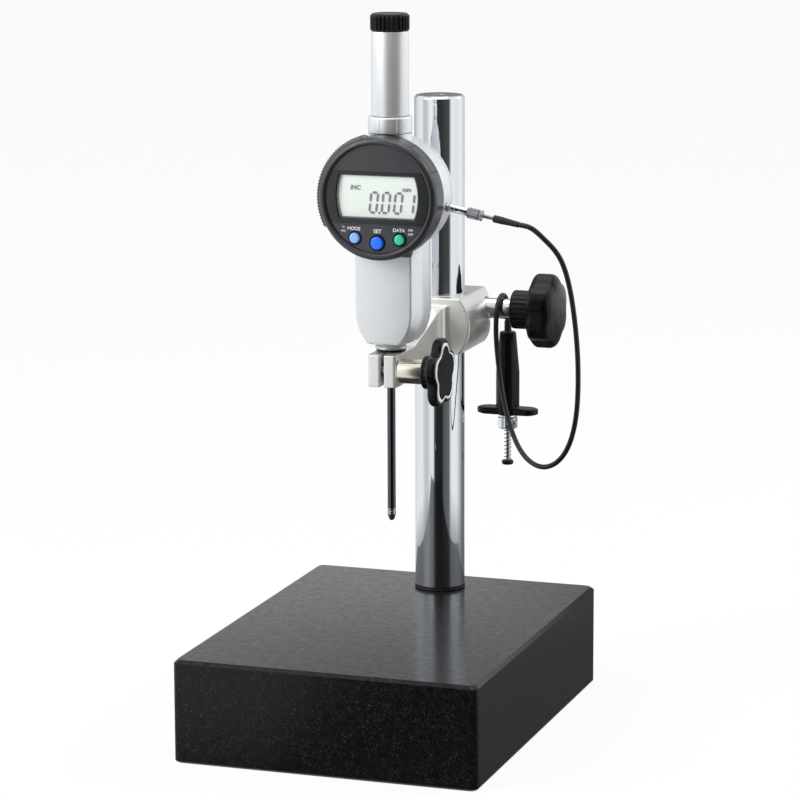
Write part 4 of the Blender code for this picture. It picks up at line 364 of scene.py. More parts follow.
def moulded_plastic(name, shade, roughness, grain, strength, gloss=0.5):
    """Moulded ABS: a satin skin with a fine spark-eroded grain that breaks up its gloss."""
    made, tree, shader, coords = blank(name)
    skin = add(tree, "ShaderNodeTexNoise", {}, {"Vector": coords, "Scale": 1.0 / grain, "Detail": 2.0})
    wear = add(tree, "ShaderNodeTexNoise", {}, {"Vector": coords, "Scale": 90.0, "Detail": 3.0})
    lighter = tuple(min(1.0, 1.30 * v + 0.002) for v in shade)
    share = add(tree, "ShaderNodeMapRange", {}, {"Value": wear.outputs["Fac"], "From Min": 0.4, "From Max": 0.8})
    mix = add(tree, "ShaderNodeMix", {"data_type": "RGBA"},
              {"Factor": share.outputs[0], 6: rgba(shade), 7: rgba(lighter)})
    rough = add(tree, "ShaderNodeMapRange", {}, {"Value": wear.outputs["Fac"], "From Min": 0.3, "From Max": 0.7,
                                                 "To Min": roughness * 0.88, "To Max": roughness * 1.12})
    bump = add(tree, "ShaderNodeBump", {}, {"Height": skin.outputs["Fac"], "Strength": strength,
                                            "Distance": 0.05 * MM})
    wire(tree, shader, {"Base Color": mix.outputs[2], "Roughness": rough.outputs[0], "Normal": bump.outputs[0],
                        "Specular IOR Level": gloss})
    return made


def black_plastic():
    """Black phenolic or nylon of the knobs, cap and handle."""
    return moulded_plastic("moulded_black_plastic", colours().black, 0.26, 0.35 * MM, 0.06, 0.22)


def charcoal_plastic():
    """Charcoal ABS of the display's rim and face, eroded to an even satin."""
    return moulded_plastic("charcoal_abs", colours().charcoal, 0.30, 0.30 * MM, 0.08, 0.80)


def surround_plastic():
    """Smoother, darker ABS round the window."""
    return moulded_plastic("dark_abs", colours().surround, 0.20, 0.40 * MM, 0.03)


def glossy_insert():
    """Glossy moulded insert of the small knob."""
    return moulded_plastic("glossy_grey_insert", colours().insert, 0.06, 0.6 * MM, 0.01, 0.25)


def painted_highlight_rim():
    """Satin chamfer round the insert. Its pale colour is a painted highlight."""
    return moulded_plastic("pale_rim_painted_highlight", colours().painted_highlight_rim, 0.30, 0.5 * MM, 0.04)


def circuit_board():
    """Green solder mask over copper tracks about a millimetre apart."""
    made, tree, shader, coords = blank("green_circuit_board")
    tracks = add(tree, "ShaderNodeTexBrick", {"offset": 0.5},
                 {"Vector": coords, "Scale": 400.0, "Mortar Size": 0.04,
                  "Color1": rgba(colours().board), "Color2": rgba(tuple(0.8 * v for v in colours().board)),
                  "Mortar": rgba(tuple(0.4 * v for v in colours().board))})
    wire(tree, shader, {"Base Color": tracks.outputs["Color"], "Roughness": 0.35})
    return made


def cable_cover():
    """Black wrapped cover of the release cable. Its fine helical ridges follow the cable's
    own map, where U is the distance along it in metres and V the turn round it."""
    made, tree, shader, _ = blank("black_cable_cover")
    uv = add(tree, "ShaderNodeTexCoord", {}, {}).outputs["UV"]
    split = add(tree, "ShaderNodeSeparateXYZ", {}, {"Vector": uv})
    turns = add(tree, "ShaderNodeMath", {"operation": "DIVIDE"}, {0: split.outputs["X"], 1: sizes().cable_pitch})
    phase = add(tree, "ShaderNodeMath", {"operation": "ADD"}, {0: turns.outputs[0], 1: split.outputs["Y"]})
    angle = add(tree, "ShaderNodeMath", {"operation": "MULTIPLY"}, {0: phase.outputs[0], 1: 2.0 * math.pi})
    wave = add(tree, "ShaderNodeMath", {"operation": "SINE"}, {0: angle.outputs[0]})
    height = add(tree, "ShaderNodeMapRange", {}, {"Value": wave.outputs[0], "From Min": -1.0, "From Max": 1.0})
    bump = add(tree, "ShaderNodeBump", {}, {"Height": height.outputs[0], "Strength": 0.5, "Distance": 0.12 * MM})
    rough = add(tree, "ShaderNodeMapRange", {}, {"Value": height.outputs[0], "From Min": 0.0, "From Max": 1.0,
                                                 "To Min": 0.48, "To Max": 0.34})
    wire(tree, shader, {"Base Color": rgba(colours().rubber), "Roughness": rough.outputs[0],
                        "Normal": bump.outputs[0]})
    return made


def boot_rubber():
    """Soft black rubber of the cable's boots, and of the ring at the column's foot, whose black is a painted shadow of
    the gap there.
    """
    return moulded_plastic("black_rubber", colours().rubber, 0.55, 0.4 * MM, 0.10)


def lcd_ground():
    """Reflective liquid crystal panel: pale grey-green, with a painted shade that makes it a
    touch darker towards its foot, and a very fine cell grain."""
    made, tree, shader, coords = blank("lcd_panel_ground")
    split = add(tree, "ShaderNodeSeparateXYZ", {}, {"Vector": coords})
    rise = add(tree, "ShaderNodeMapRange", {}, {"Value": split.outputs["Z"], "From Min": DISPLAY_Z - WINDOW_HEIGHT / 2,
                                                "From Max": DISPLAY_Z + WINDOW_HEIGHT / 2})
    cells = add(tree, "ShaderNodeTexNoise", {}, {"Vector": coords, "Scale": 3000.0})
    cells_and_painted_shade = add(tree, "ShaderNodeMath", {"operation": "MULTIPLY_ADD"},
               {0: cells.outputs["Fac"], 1: 0.15, 2: rise.outputs[0]})
    # Painted shade: the panel's foot a touch darker
    foot = tuple(0.92 * v for v in colours().lcd)
    mix = add(tree, "ShaderNodeMix", {"data_type": "RGBA"},
              {"Factor": cells_and_painted_shade.outputs[0], 6: rgba(foot), 7: rgba(colours().lcd)})
    wire(tree, shader, {"Base Color": mix.outputs[2], "Roughness": 0.35})
    return made


def print_ink(name, shade):
    """Flat printed ink or liquid crystal figure, with a slight unevenness of its edge tone."""
    made, tree, shader, coords = blank(name)
    tone = add(tree, "ShaderNodeTexNoise", {}, {"Vector": coords, "Scale": 1500.0})
    near = tuple(0.90 * v for v in shade)
    mix = add(tree, "ShaderNodeMix", {"data_type": "RGBA"},
              {"Factor": tone.outputs["Fac"], 6: rgba(near), 7: rgba(shade)})
    wire(tree, shader, {"Base Color": mix.outputs[2], "Roughness": 0.5})
    return made


def clear_window():
    """Clear acrylic window: nearly all light passes, and its skin has a soft gloss. It is
    made see-through by alpha, so that the panel behind it keeps its light."""
    made, tree, shader, coords = blank("clear_acrylic")
    haze = add(tree, "ShaderNodeTexNoise", {}, {"Vector": coords, "Scale": 300.0})
    rough = add(tree, "ShaderNodeMapRange", {}, {"Value": haze.outputs["Fac"], "To Min": 0.08, "To Max": 0.16})
    wire(tree, shader, {"Base Color": (0.9, 0.93, 0.92, 1.0), "Roughness": rough.outputs[0], "Alpha": 0.10})
    return made


MATERIALS = {
    "granite": polished_granite, "chrome": hard_chrome, "faced": faced_steel_painted_shade, "nickel": nickel_plate, "steel": ground_steel, "satin": satin_steel,
    "hardened": hardened_steel,
    "cross_chrome": cross_chrome, "pearl": pearl_paint, "silver": silver_paint, "black": black_plastic,
    # rim: the insert's chamfer, whose pale colour is a painted highlight
    "charcoal": charcoal_plastic, "surround": surround_plastic, "insert": glossy_insert, "rim": painted_highlight_rim,
    "board": circuit_board, "cable": cable_cover, "rubber": boot_rubber, "lcd": lcd_ground, "clear": clear_window,
    "digits": lambda: print_ink("lcd_figures", colours().digits),
    "shade": lambda: print_ink("lcd_figure_shade", colours().digit_shade),
    "label": lambda: print_ink("printed_label", colours().label),
    "left_button": lambda: moulded_plastic("periwinkle_button", colours().button_left, 0.32, 0.3 * MM, 0.05),
    "middle_button": lambda: moulded_plastic("blue_button", colours().button_middle, 0.32, 0.3 * MM, 0.05),
    "right_button": lambda: moulded_plastic("green_button", colours().button_right, 0.32, 0.3 * MM, 0.05),
}
made_materials = {}


def finish(key):
    """The material of that finish, made when it is first asked for."""
    if key not in made_materials:
        made_materials[key] = MATERIALS[key]()
    return made_materials[key]


def coat(key, *nodes):
    """Gives CAD nodes that stay their finish."""
    for name in nodes:
        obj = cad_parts[name]
        obj.data.materials.clear()
        obj.data.materials.append(finish(key))


def soften(line, size, steps=4, closed=False):
    """Rounds a line's corners: each becomes a parabola that starts and ends a little way
    along its two sides, no further than 45% of either."""
    p = np.asarray(line, float)
    before = np.roll(p, 1, axis=0) - p
    after = np.roll(p, -1, axis=0) - p
    back = np.linalg.norm(before, axis=1, keepdims=True)
    ahead = np.linalg.norm(after, axis=1, keepdims=True)
    start = p + before / back * np.minimum(size, 0.45 * back)
    end = p + after / ahead * np.minimum(size, 0.45 * ahead)
    t = np.linspace(0.0, 1.0, steps)[None, :, None]
    arcs = (1 - t) ** 2 * start[:, None] + 2 * t * (1 - t) * p[:, None] + t ** 2 * end[:, None]
    if closed:
        return arcs.reshape(-1, p.shape[1])
    return np.concatenate([p[:1], arcs[1:-1].reshape(-1, p.shape[1]), p[-1:]])


def fill_line(line, spacing):
    """Adds points to a line so that no two are further apart than the spacing."""
    p = np.asarray(line, float)
    run = np.concatenate([[0.0], np.cumsum(np.linalg.norm(np.diff(p, axis=0), axis=1))])
    extra = np.arange(0.0, run[-1], spacing)
    at = np.unique(np.round(np.concatenate([run, extra]), 9))
    return np.stack([np.interp(at, run, p[:, k]) for k in range(p.shape[1])], axis=1)


def turned(profile, steps=96):
    """A profile of (radius, height) carried round the Z axis: rows are the profile's
    points, columns the turns."""
    p = np.asarray(profile, float)
    a = np.linspace(0.0, 2.0 * math.pi, steps, endpoint=False)
    return np.stack([np.outer(p[:, 0], np.cos(a)), np.outer(p[:, 0], np.sin(a)),
                     np.repeat(p[:, 1:2], steps, axis=1)], axis=-1)


def lobed(grid, lobes, notch):
    """Pulls a turned grid in between its lobes. The pull of each row is its notch times
    (half of one minus the cosine of lobes times the turn) to the power one and a half."""
    a = np.arctan2(grid[..., 1], grid[..., 0])
    radius = np.hypot(grid[..., 0], grid[..., 1])
    dip = np.asarray(notch)[:, None] * (0.5 - 0.5 * np.cos(lobes * a)) ** 1.5
    share = np.divide(radius - dip, radius, out=np.ones_like(radius), where=radius > 0.0)
    out = grid.copy()
    out[..., :2] *= share[..., None]
    return out


def skin(grid, around=True, along=False, ends=(True, True)):
    """Quads between neighbouring rows and columns. Open ends are closed with a fan to the
    middle of their row, and an end whose row is one point has its fan alone."""
    rows, columns = grid.shape[:2]
    index = np.arange(rows * columns).reshape(rows, columns)
    table = np.vstack([index, index[:1]]) if along else index
    table = np.hstack([table, table[:, :1]]) if around else table
    quads = np.stack([table[:-1, :-1], table[:-1, 1:], table[1:, 1:], table[1:, :-1]], axis=-1).reshape(-1, 4)
    points = grid.reshape(-1, 3)
    faces = quads.tolist()
    if around and not along:
        for row, wanted in zip((0, rows - 1), ends):
            if wanted:
                ring = index[row]
                hub = np.full(columns, len(points))
                points = np.vstack([points, grid[row].mean(axis=0)])
                pair = (ring, np.roll(ring, -1)) if row else (np.roll(ring, -1), ring)
                faces += np.stack([hub, *pair], axis=-1).tolist()
    return points, faces


def moved(part, matrix):
    """A part's points carried by a matrix."""
    points, faces = part
    m = np.array(matrix)
    return points @ m[:3, :3].T + m[:3, 3], faces


def standing(x, y):
    return Matrix.Translation((x, y, 0.0))


def to_right(place):
    """Turns local Z to the world's X, as the clamp screws lie."""
    return Matrix.Translation(place) @ Matrix.Rotation(math.radians(90.0), 4, "Y")


def to_front(place):
    """Turns local Z to the front, as the display looks."""
    return Matrix.Translation(place) @ Matrix.Rotation(math.radians(90.0), 4, "X")


def along_release(distance):
    """Turns local Z along the release fitting, at a distance out from the case."""
    side = math.sqrt(HOUSING_RADIUS ** 2 - RELEASE_DROP ** 2)
    ahead = Vector((math.cos(RELEASE_TILT), 0.0, -math.sin(RELEASE_TILT)))
    place = Vector((side, RELEASE_SETBACK, DISPLAY_Z - RELEASE_DROP)) + ahead * distance
    return Matrix.Translation(place) @ Matrix.Rotation(math.radians(90.0) + RELEASE_TILT, 4, "Y")


def close_up(mesh):
    """Merges doubles and turns the faces outwards."""
    shape = bmesh.new()
    shape.from_mesh(mesh)
    bmesh.ops.remove_doubles(shape, verts=shape.verts, dist=1e-7)
    bmesh.ops.recalc_face_normals(shape, faces=shape.faces)
    shape.to_mesh(mesh)
    shape.free()


def bored(part, radius):
    """A part with a round upright hole right through it about the stem's axis."""
    high = sum(CASE_HIGH)
    drill = skin(turned([(radius, 0.0), (radius, high)], 96))
    solids = []
    for name, (points, faces) in (("blank", part), ("drill", drill)):
        mesh = bpy.data.meshes.new(name)
        mesh.from_pydata(points, [], faces)
        close_up(mesh)
        solids.append(bpy.data.objects.new(name, mesh))
        bpy.context.scene.collection.objects.link(solids[-1])
    cut = solids[0].modifiers.new("bore", "BOOLEAN")
    cut.operation = "DIFFERENCE"
    cut.object = solids[1]
    shaped = bpy.data.meshes.new_from_object(solids[0].evaluated_get(bpy.context.evaluated_depsgraph_get()))
    points = np.empty(3 * len(shaped.vertices))
    shaped.vertices.foreach_get("co", points)
    faces = [list(face.vertices) for face in shaped.polygons]
    for obj in solids:
        bpy.data.objects.remove(obj)
    return points.reshape(-1, 3), faces


def piece(name, parts, keys, body, stands_for=(), sharp=34.0):
    """Joins parts into one mesh that rides on a body. A part is its points, its faces and,
    where the piece has more than one finish, the number of its finish. The numbers are set
    before doubles are merged, so they stay with their faces."""
    points = []
    faces = []
    numbers = []
    for part in parts:
        offset = sum(len(p) for p in points)
        points.append(np.asarray(part[0], float))
        faces += [[k + offset for k in face] for face in part[1]]
        numbers += [part[2] if len(part) > 2 else 0] * len(part[1])
    mesh = bpy.data.meshes.new(name)
    mesh.from_pydata(np.concatenate(points), [], faces)
    for key in [keys] if isinstance(keys, str) else keys:
        mesh.materials.append(finish(key))
    mesh.polygons.foreach_set("material_index", numbers)
    close_up(mesh)
    mesh.shade_smooth()
    mesh.set_sharp_from_angle(angle=math.radians(sharp))
    obj = bpy.data.objects.new(name, mesh)
    bpy.context.scene.collection.objects.link(obj)
    return settle(obj, body, stands_for)


def settle(obj, body, stands_for=()):
    """Lets a piece ride on its body, and hides the CAD nodes it stands for."""
    if body:
        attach(obj, body)
    if stands_for:
        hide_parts(*stands_for)
    return obj


def softened_copy(name, node, voxel, rounds, key, body):
    """A casting's or moulding's soft edges: the CAD node's mesh, merged, remeshed evenly
    and smoothed a few rounds."""
    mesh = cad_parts[node].data.copy()
    shape = bmesh.new()
    shape.from_mesh(mesh)
    bmesh.ops.remove_doubles(shape, verts=shape.verts, dist=1e-6)
    shape.to_mesh(mesh)
    shape.free()
    obj = bpy.data.objects.new(name, mesh)
    bpy.context.scene.collection.objects.link(obj)
    even = obj.modifiers.new("even", "REMESH")
    even.mode = "VOXEL"
    even.voxel_size = voxel
    ease = obj.modifiers.new("ease", "SMOOTH")
    ease.factor = 0.5
    ease.iterations = rounds
    bpy.context.view_layer.update()
    final = bpy.data.meshes.new_from_object(obj.evaluated_get(bpy.context.evaluated_depsgraph_get()))
    final.name = name
    obj.modifiers.clear()
    obj.data = final
    final.materials.clear()
    final.materials.append(finish(key))
    final.shade_smooth()
    return settle(obj, body, [node])


def smooth_curve(points, count):
    """Evenly spaced points on the natural cubic spline through a route: its second
    derivatives solve one linear system, and each span is a cubic between two of them."""
    route = np.array([list(p) for p in points])
    t = np.concatenate(([0.0], np.cumsum(np.linalg.norm(np.diff(route, axis=0), axis=1))))
    h = np.diff(t)
    n = len(t)
    system = np.eye(n)
    inner = np.arange(1, n - 1)
    system[inner, inner - 1] = h[:-1]
    system[inner, inner] = 2.0 * (h[:-1] + h[1:])
    system[inner, inner + 1] = h[1:]
    slopes = np.diff(route, axis=0) / h[:, None]
    target = np.zeros((n, 3))
    target[1:-1] = 6.0 * np.diff(slopes, axis=0)
    bend = np.linalg.solve(system, target)
    fine_t = np.linspace(0.0, t[-1], 4000)
    i = np.clip(np.searchsorted(t, fine_t) - 1, 0, n - 2)
    a = (t[i + 1] - fine_t)[:, None]
    b = (fine_t - t[i])[:, None]
    w = h[i][:, None]
    fine = (bend[i] * a ** 3 + bend[i + 1] * b ** 3) / (6.0 * w) + (
        route[i] / w - bend[i] * w / 6.0) * a + (route[i + 1] / w - bend[i + 1] * w / 6.0) * b
    run = np.concatenate(([0.0], np.cumsum(np.linalg.norm(np.diff(fine, axis=0), axis=1))))
    even = np.linspace(0.0, run[-1], count)
    return np.stack([np.interp(even, run, fine[:, k]) for k in range(3)], axis=1)


def swept(path, radius, steps, leaning=(0.7071, 0.7071, 0.0)):
    """A round section carried along a path. Its two directions are square to the run and
    to a fixed leaning line that the run never follows."""
    ahead = np.gradient(path, axis=0)
    ahead /= np.linalg.norm(ahead, axis=1, keepdims=True)
    side = np.cross(ahead, np.asarray(leaning))
    side /= np.linalg.norm(side, axis=1, keepdims=True)
    up = np.cross(side, ahead)
    a = np.linspace(0.0, 2.0 * math.pi, steps, endpoint=False)
    radii = np.broadcast_to(radius, (len(path),))[:, None, None]
    ring = side[:, None] * np.cos(a)[None, :, None] + up[:, None] * np.sin(a)[None, :, None]
    return path[:, None] + radii * ring


def coil(radius, wire_radius, low, high, turns, steps=20, sides=10):
    """A round wire wound about Z at one steady pitch."""
    a = np.linspace(0.0, 2.0 * math.pi * turns, turns * steps + 1)
    path = np.stack([radius * np.cos(a), radius * np.sin(a), low + (high - low) * a / a[-1]], axis=1)
    ahead = np.stack([-radius * np.sin(a), radius * np.cos(a), np.full_like(a, (high - low) / a[-1])], axis=1)
    ahead /= np.linalg.norm(ahead, axis=1, keepdims=True)
    out = np.stack([np.cos(a), np.sin(a), np.zeros_like(a)], axis=1)
    side = np.cross(ahead, out)
    b = np.linspace(0.0, 2.0 * math.pi, sides, endpoint=False)
    ring = out[:, None] * np.cos(b)[None, :, None] + side[:, None] * np.sin(b)[None, :, None]
    return path[:, None] + wire_radius * ring


def flat_shape(outline, low, high, rounding=0.0):
    """A closed outline of (x, y) raised between two heights. Its rows are the outline at
    the foot, at the top, and drawn in a little for a rounded top edge."""
    p = np.asarray(outline, float)
    middle = p.mean(axis=0)
    reach = np.linalg.norm(p - middle, axis=1, keepdims=True)
    tight = p - (p - middle) / reach * rounding
    levels = [(p, low), (p, high - rounding), (tight, high)] if rounding else [(p, low), (p, high)]
    return skin(np.stack([np.column_stack([q, np.full(len(q), z)]) for q, z in levels]))


def lettering(text, size, place, depth=0.05 * MM, slant=0.0, bolder=0.0):
    """Words as a thin raised mesh in the display's own plane, centred on a place. Bolder
    widens every stroke by that much on each side."""
    curve = bpy.data.curves.new(text, "FONT")
    curve.body = text
    curve.size = size
    curve.shear = slant
    curve.align_x = "CENTER"
    curve.align_y = "CENTER"
    curve.extrude = depth
    curve.offset = bolder
    curve.resolution_u = 4
    obj = bpy.data.objects.new(text, curve)
    bpy.context.scene.collection.objects.link(obj)
    bpy.context.view_layer.update()
    mesh = bpy.data.meshes.new_from_object(obj.evaluated_get(bpy.context.evaluated_depsgraph_get()))
    points = np.zeros(len(mesh.vertices) * 3)
    mesh.vertices.foreach_get("co", points)
    faces = [list(polygon.vertices) for polygon in mesh.polygons]
    bpy.data.objects.remove(obj)
    bpy.data.curves.remove(curve)
    bpy.data.meshes.remove(mesh)
    return points.reshape(-1, 3) + np.asarray(place), faces


class STAND_OT_camera(bpy.types.Operator):
    """Camera at the photograph's place: its axes are worked out from its turn, rise and roll."""

    bl_idname = "stand.camera"
    bl_label = "Camera"

    def execute(self, context):
        turn = math.radians(CAMERA_AZIMUTH)
        rise = math.radians(CAMERA_ELEVATION)
        roll = math.radians(CAMERA_ROLL)
        back = Vector((math.sin(turn) * math.cos(rise), -math.cos(turn) * math.cos(rise), math.sin(rise)))
        level = Vector((math.cos(turn), math.sin(turn), 0.0))
        upright = back.cross(level)
        right = level * math.cos(roll) + upright * math.sin(roll)
        up = upright * math.cos(roll) - level * math.sin(roll)
        data = bpy.data.cameras.new("photo_camera")
        data.sensor_width = SENSOR_WIDTH_MM
        data.lens = FOCAL_PIXELS * SENSOR_WIDTH_MM / PHOTO_WIDTH_PIXELS
        data.clip_start = 0.05
        data.clip_end = 20.0
        camera = bpy.data.objects.new("photo_camera", data)
        context.scene.collection.objects.link(camera)
        turned_axes = Matrix((right, up, back)).transposed().to_4x4()
        place = back * CAMERA_DISTANCE + right * CAMERA_RIGHT + up * CAMERA_UP
        camera.matrix_world = Matrix.Translation(place) @ turned_axes
        context.scene.camera = camera
        return {"FINISHED"}


class STAND_OT_cable(bpy.types.Operator):
    """Release cable: one smooth curve out of the boot, down in a loose loop, over the
    clamp's sleeve and down into the handle."""

    bl_idname = "stand.cable"
    bl_label = "Release cable"

    def execute(self, context):
        thick = sizes().cable_diameter
        out = along_release(BOOT_START + BOOT_LENGTH + 0.1 * MM).translation
        ahead = Vector((math.cos(RELEASE_TILT), 0.0, -math.sin(RELEASE_TILT)))
        sleeve_low, sleeve_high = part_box("column_clamp_sleeve")
        over_y = (sleeve_low.y + sleeve_high.y) / 2
        top = sleeve_high.z + thick / 2 + 0.3 * MM
        r = DRAPE_RADIUS
        slant = r * math.sqrt(0.5)
        end_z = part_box("handle_boot")[1].z + 0.3 * MM
        x = HANDLE_X
        drape = [(x, over_y - r, top - r), (x, over_y - slant, top - r + slant), (x, over_y, top),
                 (x, over_y + slant, top - r + slant), (x, over_y + r, top - r), (x, over_y + r, end_z)]
        path = smooth_curve([out, out + ahead * thick * 2.0] + CABLE_LOOP + drape, 320)
        grid = swept(path, thick / 2, 16)
        obj = piece("cable", [skin(grid)], "cable", None, ["release_cable"])
        run = np.concatenate([[0.0], np.cumsum(np.linalg.norm(np.diff(path, axis=0), axis=1))])
        map_cable(obj.data, path, run)
        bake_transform(obj)
        return {"FINISHED"}


def map_cable(mesh, path, run):
    """Gives the cable its map: U is the run along it at the nearest path point, V the turn
    of the corner round it over a full turn."""
    corner_vertex = np.zeros(len(mesh.loops), int)
    mesh.loops.foreach_get("vertex_index", corner_vertex)
    points = np.zeros(len(mesh.vertices) * 3)
    mesh.vertices.foreach_get("co", points)
    points = points.reshape(-1, 3)
    nearest = np.argmin(((points[:, None] - path[None]) ** 2).sum(axis=2), axis=1)
    ahead = np.gradient(path, axis=0)
    ahead /= np.linalg.norm(ahead, axis=1, keepdims=True)
    side = np.cross(ahead, (0.7071, 0.7071, 0.0))
    side /= np.linalg.norm(side, axis=1, keepdims=True)
    up = np.cross(side, ahead)
    off = points - path[nearest]
    turn = np.arctan2((off * up[nearest]).sum(axis=1), (off * side[nearest]).sum(axis=1)) / (2.0 * math.pi)
    uv = np.stack([run[nearest], turn], axis=1)
    layer = mesh.uv_layers.new(name="run")
    layer.data.foreach_set("uv", uv[corner_vertex].ravel())


class STAND_OT_base(bpy.types.Operator):
    """Granite block, its bolt and washer, and the black ring at the column's foot that paints the shadow of the gap
    there.
    """

    bl_idname = "stand.base"
    bl_label = "Granite base"

    def execute(self, context):
        coat("granite", "granite_base")
        coat("steel", "column_bolt", "column_bolt_washer")
        # Black ring at the column's foot: a painted shadow, standing for the dark gap there
        coat("rubber", "column_foot_ring")
        return {"FINISHED"}


class STAND_OT_column(bpy.types.Operator):
    """Column: one profile turned about its axis, with the foot ring's rebate, a chamfered
    top and a centre hole. The plate ends at the chamfer, and the top is faced steel whose
    darker tone is painted shade."""

    bl_idname = "stand.column"
    bl_label = "Column"

    def execute(self, context):
        low = COLUMN_LOW.z
        top = COLUMN_HIGH.z
        r = COLUMN_RADIUS
        neck = r - 1.3 * MM
        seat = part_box("column_foot_ring")[1].z + 0.3 * MM
        wall = soften([(0.0, low), (neck, low), (neck, seat), (r, seat), (r, top - 1.0 * MM),
                       (r - 1.0 * MM, top)], sizes().edge)
        # Top face, in faced steel whose darker tone is painted shade
        end = soften([(r - 1.0 * MM, top), (3.4 * MM, top), (3.0 * MM, top - 0.4 * MM), (3.0 * MM, top - 8.0 * MM),
                      (0.0, top - 11.0 * MM)], sizes().edge)
        place = standing(0.0, COLUMN_Y)
        parts = [(*moved(skin(turned(wall, 160), ends=(True, False)), place), 0),
                 (*moved(skin(turned(end, 160), ends=(False, True)), place), 1)]
        piece("chromed_column", parts, ["chrome", "faced"], "column_post", ["column"])
        return {"FINISHED"}


class STAND_OT_bracket(bpy.types.Operator):
    """Bracket casting, with the soft edges that its paint gives it."""

    bl_idname = "stand.bracket"
    bl_label = "Bracket"

    def execute(self, context):
        softened_copy("bracket_casting", "bracket", 0.42 * MM, 5, "pearl", "arm")
        return {"FINISHED"}


class STAND_OT_column_knob(bpy.types.Operator):
    """Large clamp knob with its fluted hub, the plated sleeve and the screw."""

    bl_idname = "stand.column_knob"
    bl_label = "Column clamp knob"

    def execute(self, context):
        low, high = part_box("column_clamp_knob")
        sleeve_low, sleeve_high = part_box("column_clamp_sleeve")
        y = (sleeve_low.y + sleeve_high.y) / 2
        z = (sleeve_low.z + sleeve_high.z) / 2
        r = (sleeve_high.z - sleeve_low.z) / 2
        long = sleeve_high.x - sleeve_low.x
        sleeve = turned(soften([(0.0, 0.0), (r, 0.0), (r, long), (0.0, long)], sizes().edge), 64)
        piece("clamp_sleeve", [moved(skin(sleeve), to_right((sleeve_low.x, y, z)))], "cross_chrome",
              "column_knob", ["column_clamp_sleeve"])

        hub = 9.75 * MM
        disc = 18.7 * MM
        profile = np.array([(0.0, 0.0), (hub - 0.6 * MM, 0.0), (hub, 0.6 * MM), (hub, 10.4 * MM),
                            (hub + 0.5 * MM, 11.0 * MM), (disc - 1.4 * MM, 11.0 * MM), (disc, 12.6 * MM),
                            (disc, 20.2 * MM), (disc - 1.2 * MM, 22.3 * MM), (disc * 0.80, 23.6 * MM),
                            (disc * 0.45, 24.7 * MM), (0.0, 25.0 * MM)])
        line = fill_line(soften(profile, 1.1 * MM, 6), 0.5 * MM)
        grid = turned(line, 288)
        share = np.clip((line[:, 0] - hub - 0.5 * MM) / (disc - hub), 0.0, 1.0)
        past_hub = np.clip((line[:, 1] - 10.6 * MM) / (1.0 * MM), 0.0, 1.0)
        grid = lobed(grid, 6, 2.6 * MM * share * past_hub)
        grid = flute(grid, 24, 0.28 * MM, 1.0 * MM, 10.0 * MM)
        piece("clamp_knob", [moved(skin(grid), to_right((low.x, y, z)))], "black", "column_knob",
              ["column_clamp_knob"], sharp=50.0)
        coat("steel", "column_clamp_screw")
        return {"FINISHED"}


def flute(grid, count, depth, low, high):
    """Cuts shallow flutes between two heights of a turned grid: the radius drops by the
    depth times the squared sine of half of count times the turn, faded at both ends."""
    a = np.arctan2(grid[..., 1], grid[..., 0])
    z = grid[..., 2]
    radius = np.hypot(grid[..., 0], grid[..., 1])
    fade = np.clip((z - low) / (0.5 * MM), 0.0, 1.0) * np.clip((high - z) / (0.5 * MM), 0.0, 1.0)
    dip = depth * np.sin(count * a / 2.0) ** 2 * fade
    share = np.divide(radius - dip, radius, out=np.ones_like(radius), where=radius > depth * 2.0)
    out = grid.copy()
    out[..., :2] *= share[..., None]
    return out


